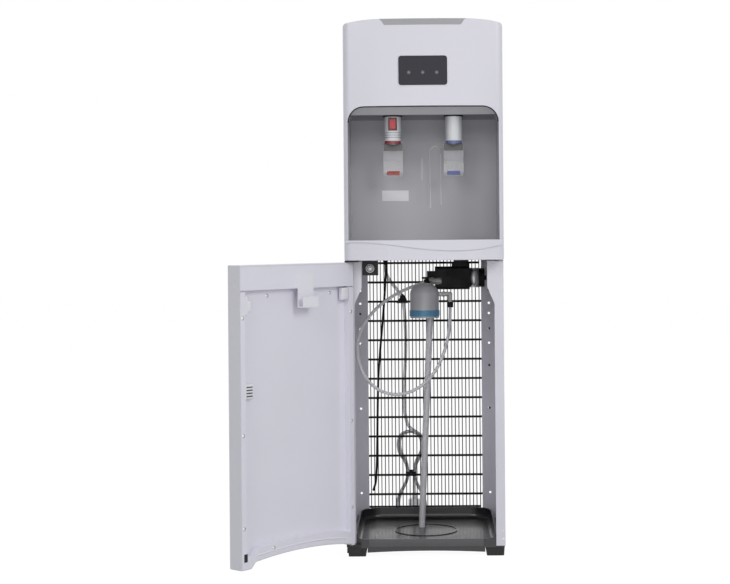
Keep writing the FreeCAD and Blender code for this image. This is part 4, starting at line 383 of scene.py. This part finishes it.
def spline(name, points, radius):
    """A round cord on one smooth curve with these control points."""
    data = bpy.data.curves.new(name, "CURVE")
    data.dimensions = "3D"
    line = data.splines.new("NURBS")
    line.points.add(len(points) - 1)
    for control, point in zip(line.points, points):
        control.co = (*point, 1)
    line.order_u = 3
    line.use_endpoint_u = True
    line.resolution_u = 12
    data.bevel_depth = radius
    data.bevel_resolution = 6
    data.use_fill_caps = True
    return bpy.data.objects.new(name, data)


# --- cords -----------------------------------------------------------------------

lead = [
    (-84, 0, 565.5),
    (-84, 0, 551),
    (-79, -0.4, 537),
    (-69.5, 0, 524),
    (-59, 0.3, 511),
    (-50, 0, 497),
    (-44.5, 0, 477),
    (-42.5, -0.3, 448),
    (-41, 0, 403),
    (-42.5, 0.5, 355),
    (-45.5, 0, 308),
    (-47, -0.4, 268),
    (-44, 0, 238),
    (-37.5, 0, 214),
]
cord_points = [mm(x, CORD_Y * 1000 + y, z) for x, y, z in lead]


def hank_turn(turn):
    """Control points of one turn of the hank: over the top, down through the waist and back."""
    y = CORD_Y * 1000 + turn * TURN_PITCH
    half = 28 - 1.5 * turn
    lower = 31 - 1.5 * turn
    top = 203 - 1.5 * turn
    low = 11.5 + 3 * turn
    x = HANK_X
    return [
        (x + half * 0.35, y - 1, top + 1),
        (x + half * 0.98, y, top - half * 0.42),
        (x + half * 0.98, y, top - half * 1.6),
        (x + 9, y, 136),
        (x + 6, y, 100),
        (x + lower * 0.80, y, low + lower * 1.9),
        (x + lower * 1.04, y, low + lower * 1.05),
        (x + lower * 0.86, y, low + lower * 0.14),
        (x, y, low - 1.5),
        (x - lower * 0.86, y, low + lower * 0.14),
        (x - lower * 1.04, y, low + lower * 1.05),
        (x - lower * 0.80, y, low + lower * 1.9),
        (x - 6, y, 100),
        (x - 9, y + 2, 136),
        (x - half * 0.98, y + 4, top - half * 1.6),
        (x - half * 0.98, y + 6, top - half * 0.42),
        (x - half * 0.35, y + 7.4, top + 1),
    ]


for turn in range(HANK_TURNS):
    cord_points += [mm(*point) for point in hank_turn(turn)]
last_y = CORD_Y * 1000 + HANK_TURNS * TURN_PITCH
cord_points += [
    mm(HANK_X + 9, last_y, 200),
    mm(HANK_X + 23.5, last_y, 186),
    mm(HANK_X + 23.5, last_y, 154),
    mm(HANK_X + 9, last_y + 1, 128),
    mm(HANK_X + 6.5, last_y + 6, 100),
    mm(HANK_X + 6.5, last_y + 8, 80),
    mm(HANK_X + 6.5, last_y + 8, 66),
]
lead_line = spline("power_lead", cord_points, LEAD_RADIUS)
power_cord = put("power_lead", lead_line, sheath, "cabinet")
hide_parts("power_cord", "cord_hank")

hose_run = [
    (53.4, 205, 489),
    (53.4, 205, 462),
    (51.5, 200, 434),
    (46.5, 195, 406),
    (38, 192, 379),
    (26, 190, 353),
    (10, 188.5, 331),
    (-11, 187.8, 313),
    (-36, 187.8, 301),
    (-64, 188, 297.5),
    (-92, 189.5, 304.5),
    (-115.5, 192, 322),
    (-132, 195, 347),
    (-140.5, 198, 377),
    (-140.5, 202, 408),
    (-131, 206, 437),
    (-112, 211.5, 466),
    (-83.5, 218, 491.5),
    (-50, 226, 511),
    (-19.5, 232, 523),
    (10.5, 233, 533),
]
hose_points = [mm(x, behind(depth), z) for x, depth, z in hose_run]
hose_line = spline("probe_hose", hose_points, HOSE_RADIUS)
hose = put("probe_hose", hose_line, silicone, "cabinet")
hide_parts("suction_hose")

# --- small pieces on the cabinet -------------------------------------------------

# the bright band round the pump's motor
BAND = (0.0203, 0.0208)
pump_y = behind(PUMP_DEPTH) / 1000
band = lathe(
    "pump_band",
    [(BAND[0], 0), (BAND[1], 0), (BAND[1], 0.018), (BAND[0], 0.018), (BAND[0], 0)],
    Vector((0.0966, pump_y, 0.538)),
    (1, 0, 0),
)
put("pump_band", band, zinc, "cabinet")

# the bare plate on the alcove's back wall
plate_white = finish("plate white", (0.74, 0.74, 0.76), 0.4, 0.02, bump=0.03)
alcove_back = behind(ALCOVE_BACK) / 1000
plate = block(
    "blank_plate",
    (-0.0839, alcove_back - 0.0006, 0.6974),
    (-0.0303, alcove_back - 0.0001, 0.7192),
    0.0002,
)
put("blank_plate", plate, plate_white, "cabinet")

# the alcove's light lip and its darker roof, as thin panels under the liner; the roof's darker
# grey is painted shade, the shade under the head
ALCOVE_HALF = 146.5
ALCOVE_TOP = 878.5
ALCOVE_CORNER = 31
LIP_STEPS = 6
COVE_STEPS = 10


def mouth_reach(z):
    """Half the alcove's width at this height, in millimetres."""
    over = max(z - (ALCOVE_TOP - ALCOVE_CORNER), 0)
    return ALCOVE_HALF - ALCOVE_CORNER + math.sqrt(ALCOVE_CORNER**2 - over**2)


def roof_panel(name, profile, look):
    """A thin panel from (distance behind the flanges, height) points, as wide as the alcove."""
    shape = bmesh.new()
    rings = []
    for distance, z in profile:
        reach = mouth_reach(z) - 0.3
        ring = []
        for x, drop in ((-reach, 0.1), (reach, 0.1), (reach, PANEL_DROP), (-reach, PANEL_DROP)):
            ring.append(shape.verts.new(mm(x, behind(distance), z - drop)))
        rings.append(ring)
    for near, far in zip(rings, rings[1:]):
        for corner in range(4):
            after = (corner + 1) % 4
            shape.faces.new((near[corner], near[after], far[after], far[corner]))
    shape.faces.new(rings[0])
    shape.faces.new(rings[-1])
    bmesh.ops.recalc_face_normals(shape, faces=shape.faces)
    return put(name, from_bmesh(name, shape, False), look, "cabinet")


lip = [
    (-27.5 + 22.5 * step / LIP_STEPS, ALCOVE_TOP - 0.3 - 13.7 * step / LIP_STEPS)
    for step in range(LIP_STEPS + 1)
]
roof_panel("alcove_lip", lip, lip_grey)
roof_panel(
    "alcove_roof", [(-4.8, ROOF), (46, ROOF), (70, 852.0), (94.6, 839.2)], roof_shade_grey
)

# the soft turn between the roof and the back wall
cove = []
for step in range(COVE_STEPS + 1):
    part = step / COVE_STEPS
    distance = (1 - part) ** 2 * 58 + 2 * part * (1 - part) * 94.3 + part**2 * 94.6
    height = (1 - part) ** 2 * 857.9 + 2 * part * (1 - part) * 838.6 + part**2 * 812
    cove.append((distance, height))
roof_panel("alcove_cove", cove, alcove_grey)

# the black sleeves in the alcove's roof, round the tops of the taps
tap_places = {"hot": -0.060, "cold": 0.060}
tap_y = behind(TAP_DEPTH) / 1000
for side, x in tap_places.items():
    sleeve = lathe(
        side + "_tap_sleeve",
        [(0.0168, 0), (0.0170, -0.0026), (0.0188, -0.0026), (0.0197, -0.0004), (0.0168, 0)],
        Vector((x, tap_y, (ROOF - PANEL_DROP) / 1000)),
        (0, 0, 1),
    )
    put(side + "_tap_sleeve", sleeve, switch_black, "cabinet")

# marks and panes on the paddles; the grey pane is a painted reflection and the dark upper pane is
# painted shade, the shade under the tap
paddle_front = behind(PADDLE_DEPTH) / 1000
paddle_looks = {"hot": (bar_red, "hot_red"), "cold": (bar_blue, "cold_blue")}
for side, x in tap_places.items():
    look, finish_slot = paddle_looks[side]
    lever = side + "_lever"
    bar = block(
        side + "_bar",
        (x - 0.0127, paddle_front - 0.0007, 0.7478),
        (x + 0.0127, paddle_front + 0.0004, 0.7560),
        0.0004,
    )
    put(side + "_bar", bar, look, lever)
    pane = block(
        side + "_pane",
        (x - 0.0190, paddle_front - 0.0004, 0.7760),
        (x + 0.0190, paddle_front + 0.0002, 0.7965),
        0.0002,
    )
    put(side + "_pane", pane, reflection_grey, lever)
    upper = block(
        side + "_pane_top",
        (x - 0.0190, paddle_front - 0.0003, 0.7967),
        (x + 0.0190, paddle_front + 0.0002, 0.8120),
        0.0002,
    )
    put(side + "_pane_top", upper, shadowed, lever)

# the raised middle of the child lock's button
lock_front = behind(5) / 1000 - 0.003
lock_face = block(
    "lock_face",
    (-0.0654, lock_front - 0.0005, 0.8378),
    (-0.0546, lock_front + 0.0004, 0.8560),
    0.0004,
)
put("lock_face", lock_face, lock_red, "child_lock")


HEAD_HALF = 155
HEAD_CORNER = 16
CROWN_EDGE = 36.5
CROWN_RISE = 12


def crown_y(x):
    """Y in millimetres of the crowned front at this X in millimetres."""
    past = max(abs(x) - (HEAD_HALF - HEAD_CORNER), 0)
    crown = behind(-CROWN_EDGE - CROWN_RISE * (1 - (x / HEAD_HALF) ** 2))
    return crown + HEAD_CORNER - math.sqrt(HEAD_CORNER**2 - past**2)


def line_piece(name, points, radius, look, closed=False, body="cabinet"):
    """A thin bead or groove along points in millimetres."""
    data = bpy.data.curves.new(name, "CURVE")
    data.dimensions = "3D"
    line = data.splines.new("POLY")
    line.points.add(len(points) - 1)
    for control, point in zip(line.points, points):
        control.co = (*mm(*point), 1)
    line.use_cyclic_u = closed
    line.use_smooth = True
    data.bevel_depth = radius
    data.bevel_resolution = 3
    data.use_fill_caps = True
    return put(name, bpy.data.objects.new(name, data), look, body)


def round_corner(x, z, radius, start, end, steps=8):
    """X and Z of points round a corner centre, between two angles in degrees."""
    places = []
    for step in range(steps + 1):
        angle = math.radians(start + (end - start) * step / steps)
        places.append((x + radius * math.cos(angle), z + radius * math.sin(angle)))
    return places


def mouth_line(inset, foot):
    """X and Z of points up one side of the alcove's mouth, over its top and down again."""
    corner_x = ALCOVE_HALF - ALCOVE_CORNER
    corner_z = ALCOVE_TOP - ALCOVE_CORNER
    radius = ALCOVE_CORNER - inset
    turns = [(-ALCOVE_HALF + inset, foot)] if foot else []
    turns += round_corner(-corner_x, corner_z, radius, 180, 90)
    turns += round_corner(corner_x, corner_z, radius, 90, 0)
    turns += [(ALCOVE_HALF - inset, foot)] if foot else []
    line = []
    for (x, z), (next_x, next_z) in zip(turns, turns[1:]):
        parts = 10 if abs(next_x - x) > 20 or abs(next_z - z) > 20 else 1
        for step in range(parts):
            along = step / parts
            line.append((x + (next_x - x) * along, z + (next_z - z) * along))
    line.append(turns[-1])
    return line


# a black bead over the alcove's mouth, which paints the shadow in the gap there, and the bright
# bead round it
line_piece(
    "alcove_gap_shadow",
    [(x, crown_y(x) + 1.5, z) for x, z in mouth_line(1.2, 0)],
    0.0012,
    trim_dark,
)
line_piece(
    "alcove_bead",
    [(x, crown_y(x) + 0.4, z) for x, z in mouth_line(-0.5, 617)],
    0.0009,
    moulded,
)

# the bead round the display
bead = []
for x, z, start in ((41.5, 969, 90), (41.5, 923.5, 0), (-41.5, 923.5, -90), (-41.5, 969, 180)):
    bead += round_corner(x, z, 6.5, start, start - 90)
line_piece(
    "display_bead",
    [(x, crown_y(x) - 0.1, z) for x, z in bead],
    0.0010,
    moulded,
    closed=True,
)

# shallow mouldings on the alcove's back wall, as raised beads whose lighter grey is painted
# highlight
wall_y = behind(ALCOVE_BACK) + 0.6
wall_highlight = finish("wall painted highlight", (0.66, 0.66, 0.68), 0.36, 0.03, bump=0.06)
arch = [(13, wall_y, 683)]
arch += [(x, wall_y, z) for x, z in round_corner(24, 796, 11, 180, 20, 14)]
line_piece("wall_arch", arch, 0.0018, wall_highlight)
line_piece("wall_groove", [(35, wall_y, 690), (35, wall_y, 792)], 0.0011, wall_highlight)
line_piece("wall_seam", [(-3, wall_y, 740), (-3, wall_y, 784)], 0.0016, wall_highlight)

# flat rivets at the foot of the side panels
rivet_profile = [(0.0001, -0.00022), (0.0016, -0.00018), (0.0021, 0.0), (0.0021, 0.0002)]
for side, x in (("left", -150.5), ("right", 150.5)):
    for height in (32, 47.5):
        rivet = lathe("rivet", rivet_profile, mm(x, behind(0), height), BACK, 20)
        put(f"rivet_{side}_{int(height)}", rivet, zinc, "cabinet")

# a lighter grey face on the base's front lip: painted sheen, the bright floor reflected in the
# glossy lip
painted_sheen = finish(
    "base painted sheen", (0.085, 0.085, 0.09), 0.5, 0.12, patch=9, bump=0.04, stretch=(1, 1, 0.3)
)
lip_face = block(
    "base_lip_sheen",
    (-0.112, FRONT_Y - 0.0002, 0.0195),
    (0.112, FRONT_Y + 0.0003, 0.0338),
    0.0002,
)
put("base_lip_sheen", lip_face, painted_sheen, "cabinet")

# the ring and the screw on the door switch's plunger
plunger_at = mm(-106.3, behind(2), 564.3)
ring = [(0.0054, 0.0002), (0.0056, -0.0004), (0.0065, -0.0004), (0.0067, 0.0002)]
plunger_ring = lathe("plunger_ring", ring, plunger_at, BACK, 40)
put("plunger_ring", plunger_ring, switch_black, "plunger")
screw = [(0.0001, -0.0012), (0.0018, -0.0011), (0.0032, -0.0005), (0.0036, 0.0002)]
plunger_screw = lathe("plunger_screw", screw, plunger_at, BACK, 32)
put("plunger_screw", plunger_screw, zinc, "plunger")

# the moulded barrel where the hose enters the pump
barrel = [(0.0001, 0), (0.0042, 0.0003), (0.0058, 0.0020), (0.0066, 0.0060), (0.0066, 0.0200)]
barrel += [(0.0056, 0.0236), (0.0001, 0.0246)]
barrel_at = mm(13, behind(229.5), 531.2)
inlet_barrel = lathe("inlet_barrel", barrel, barrel_at, (1, 0, 0.06))
put("inlet_barrel", inlet_barrel, clear_grey, "cabinet")

# the pale band round the foot of each tap and, on the hot one, thin black beads over it which
# paint the shade between its ribs
TAP_BAND_RADIUS = 14.1
band_heights = {"hot": (815.3, 821.0, 825.5, 830.0), "cold": (815.3,)}
for side, x in tap_places.items():
    for number, height in enumerate(band_heights[side]):
        band_line = []
        for shift_x, distance, start in ((2, 25, 0), (-2, 25, 90), (-2, 19, 180), (2, 19, 270)):
            for step in range(7):
                angle = math.radians(start + 15 * step)
                across = x * 1000 + shift_x + TAP_BAND_RADIUS * math.cos(angle)
                along = behind(distance) + TAP_BAND_RADIUS * math.sin(angle)
                band_line.append((across, along, height))
        line_piece(
            f"{side}_tap_band_{number}",
            band_line,
            0.0007 if number == 0 else 0.0004,
            moulded if number == 0 else trim_dark,
            closed=True,
        )

# the rings round the indicator lights
INDICATOR_Z = 942.5
HALO_RADIUS = 3.2
for number, x in enumerate((-27, 0, 27)):
    halo = []
    for step in range(24):
        angle = math.radians(15 * step)
        across = x + HALO_RADIUS * math.cos(angle)
        height = INDICATOR_Z + HALO_RADIUS * math.sin(angle)
        halo.append((across, crown_y(across) + 0.6, height))
    line_piece(f"indicator_ring_{number}", halo, 0.0003, lens, closed=True)

# the ribs round the probe's blue ring
RIB_COUNT = 48
ribs = bmesh.new()
for step in range(RIB_COUNT):
    turned = Matrix.Rotation(2 * math.pi * step / RIB_COUNT, 4, "Z")
    place = Matrix.Translation(mm(0, behind(PROBE_DEPTH), 466.3)) @ turned
    rib = bmesh.ops.create_cube(ribs, size=1)["verts"]
    for vertex in rib:
        local = Vector((vertex.co.x * 0.0009 + 0.0307, vertex.co.y * 0.0016, vertex.co.z * 0.0105))
        vertex.co = place @ local
bmesh.ops.bevel(ribs, geom=ribs.edges[:], offset=0.0002, segments=1, affect="EDGES")
put("ring_ribs", from_bmesh("ring_ribs", ribs, False), probe_blue, "cabinet")


def on_door(x, out, z):
    """A place on the open door: x and z as when shut, out towards the bay, millimetres."""
    return swung(mm(x, behind(-0.5) + out, z))


def door_block(name, x, out, z, bevel, look):
    """A small block on the inside of the door, from pairs of limits in millimetres."""
    made = block(
        name,
        (x[0], out[0], z[0]),
        (x[1], out[1], z[1]),
        bevel,
        lambda point: on_door(point.x, point.y, point.z),
    )
    return put(name, made, look, "door")


# the latch tab, the catch with its ribs, the stiffened corner, and a black plate in the notch
# which paints the shade in it
door_block("door_tab", (124, 134), (-6, -0.6), (492, 512), 0.8, hanger_white)
door_block("door_tab_root", (133, 141), (-6, -0.3), (486, 520), 0.8, hanger_white)
door_block("door_catch", (115, 138), (-13, -4), (334, 361), 1.2, hanger_white)
for rib in range(4):
    low = 338 + rib * 5.5
    door_block(
        f"door_catch_rib_{rib}",
        (119, 134),
        (-5, -3.4),
        (low, low + 2),
        0.4,
        trim_dark,
    )
door_block("door_corner", (-141, -122), (-9, -0.6), (505, 528.4), 0.8, hanger_white)
door_block("door_notch_shade", (138, 147), (-1.2, 0.1), (41, 56), 0.3, switch_black)

# the rolled ridge above the door's lower edge
RIDGE_STEPS = 24
RIDGE_FOOT = 38
ridge = []
for step in range(RIDGE_STEPS + 1):
    x = -126 + 238 * step / RIDGE_STEPS
    rise = 16 - 13 * (x / 145) ** 2 if x < 0 else 16 - 5 * (x / 117) ** 2
    ridge.append((x, rise + RIDGE_FOOT))
line_piece(
    "door_ridge",
    [tuple(on_door(x, -0.4, z) * 1000) for x, z in ridge],
    0.0016,
    door_lining_lit,
    body="door",
)

# --- light and surroundings ------------------------------------------------------


def lamp(name, place, aim, size, power):
    data = bpy.data.lights.new(name, "AREA")
    data.shape = "RECTANGLE"
    data.size, data.size_y = size
    data.energy = power
    made = bpy.data.objects.new(name, data)
    scene.collection.objects.link(made)
    made.location = place
    made.rotation_euler = (Vector(aim) - Vector(place)).to_track_quat("-Z", "Y").to_euler()


lamp("key", (2.0, -2.4, 2.2), (0, 0, 0.6), (1.4, 1.4), 33)
lamp("fill", (-1.5, -2.8, 2.1), (0, 0, 0.7), (1.2, 1.4), 18)
lamp("front", (0.1, -4.3, 0.95), (0, 0, 0.55), (2.2, 1.4), 15)
lamp("top", (0.2, 0.2, 3.0), (0, 0, 0.5), (1.8, 1.8), 16)


def seen_directly(tree):
    """One where the ray comes from the camera, a reflection or a view through glass."""
    path = tree.nodes.new("ShaderNodeLightPath")
    first = tree.nodes.new("ShaderNodeMath")
    first.operation = "MAXIMUM"
    second = tree.nodes.new("ShaderNodeMath")
    second.operation = "MAXIMUM"
    tree.links.new(path.outputs["Is Camera Ray"], first.inputs[0])
    tree.links.new(path.outputs["Is Glossy Ray"], first.inputs[1])
    tree.links.new(first.outputs["Value"], second.inputs[0])
    tree.links.new(path.outputs["Is Transmission Ray"], second.inputs[1])
    return second.outputs["Value"]


world = bpy.data.worlds.new("studio")
scene.world = world
world.use_nodes = True
sky = world.node_tree
sky.nodes.clear()
sky_output = sky.nodes.new("ShaderNodeOutputWorld")
ambient = sky.nodes.new("ShaderNodeBackground")
ambient.inputs["Color"].default_value = (0.93, 0.95, 1.0, 1)
ambient.inputs["Strength"].default_value = 0.42
plain = sky.nodes.new("ShaderNodeBackground")
plain.inputs["Color"].default_value = (1, 1, 1, 1)
plain.inputs["Strength"].default_value = 1.0
choice = sky.nodes.new("ShaderNodeMixShader")
sky.links.new(seen_directly(sky), choice.inputs[0])
sky.links.new(ambient.outputs[0], choice.inputs[1])
sky.links.new(plain.outputs[0], choice.inputs[2])
sky.links.new(choice.outputs[0], sky_output.inputs["Surface"])

floor_look = bpy.data.materials.new("studio floor")
floor_look.use_nodes = True
ground = floor_look.node_tree
ground.nodes.clear()
ground_output = ground.nodes.new("ShaderNodeOutputMaterial")
matte = ground.nodes.new("ShaderNodeBsdfDiffuse")
matte.inputs["Color"].default_value = (0.62, 0.62, 0.62, 1)
glow = ground.nodes.new("ShaderNodeEmission")
glow.inputs["Strength"].default_value = 1.13
shown = ground.nodes.new("ShaderNodeMixShader")
shown.inputs[0].default_value = 0.85
seen = ground.nodes.new("ShaderNodeMixShader")
ground.links.new(matte.outputs[0], shown.inputs[1])
ground.links.new(glow.outputs[0], shown.inputs[2])
ground.links.new(seen_directly(ground), seen.inputs[0])
ground.links.new(matte.outputs[0], seen.inputs[1])
ground.links.new(shown.outputs[0], seen.inputs[2])
ground.links.new(seen.outputs[0], ground_output.inputs["Surface"])
sheet = bmesh.new()
bmesh.ops.create_grid(sheet, x_segments=1, y_segments=1, size=12)
floor = from_bmesh("floor", sheet, False)
floor.data.materials.append(floor_look)
scene.collection.objects.link(floor)

scene.view_settings.view_transform = "Standard"
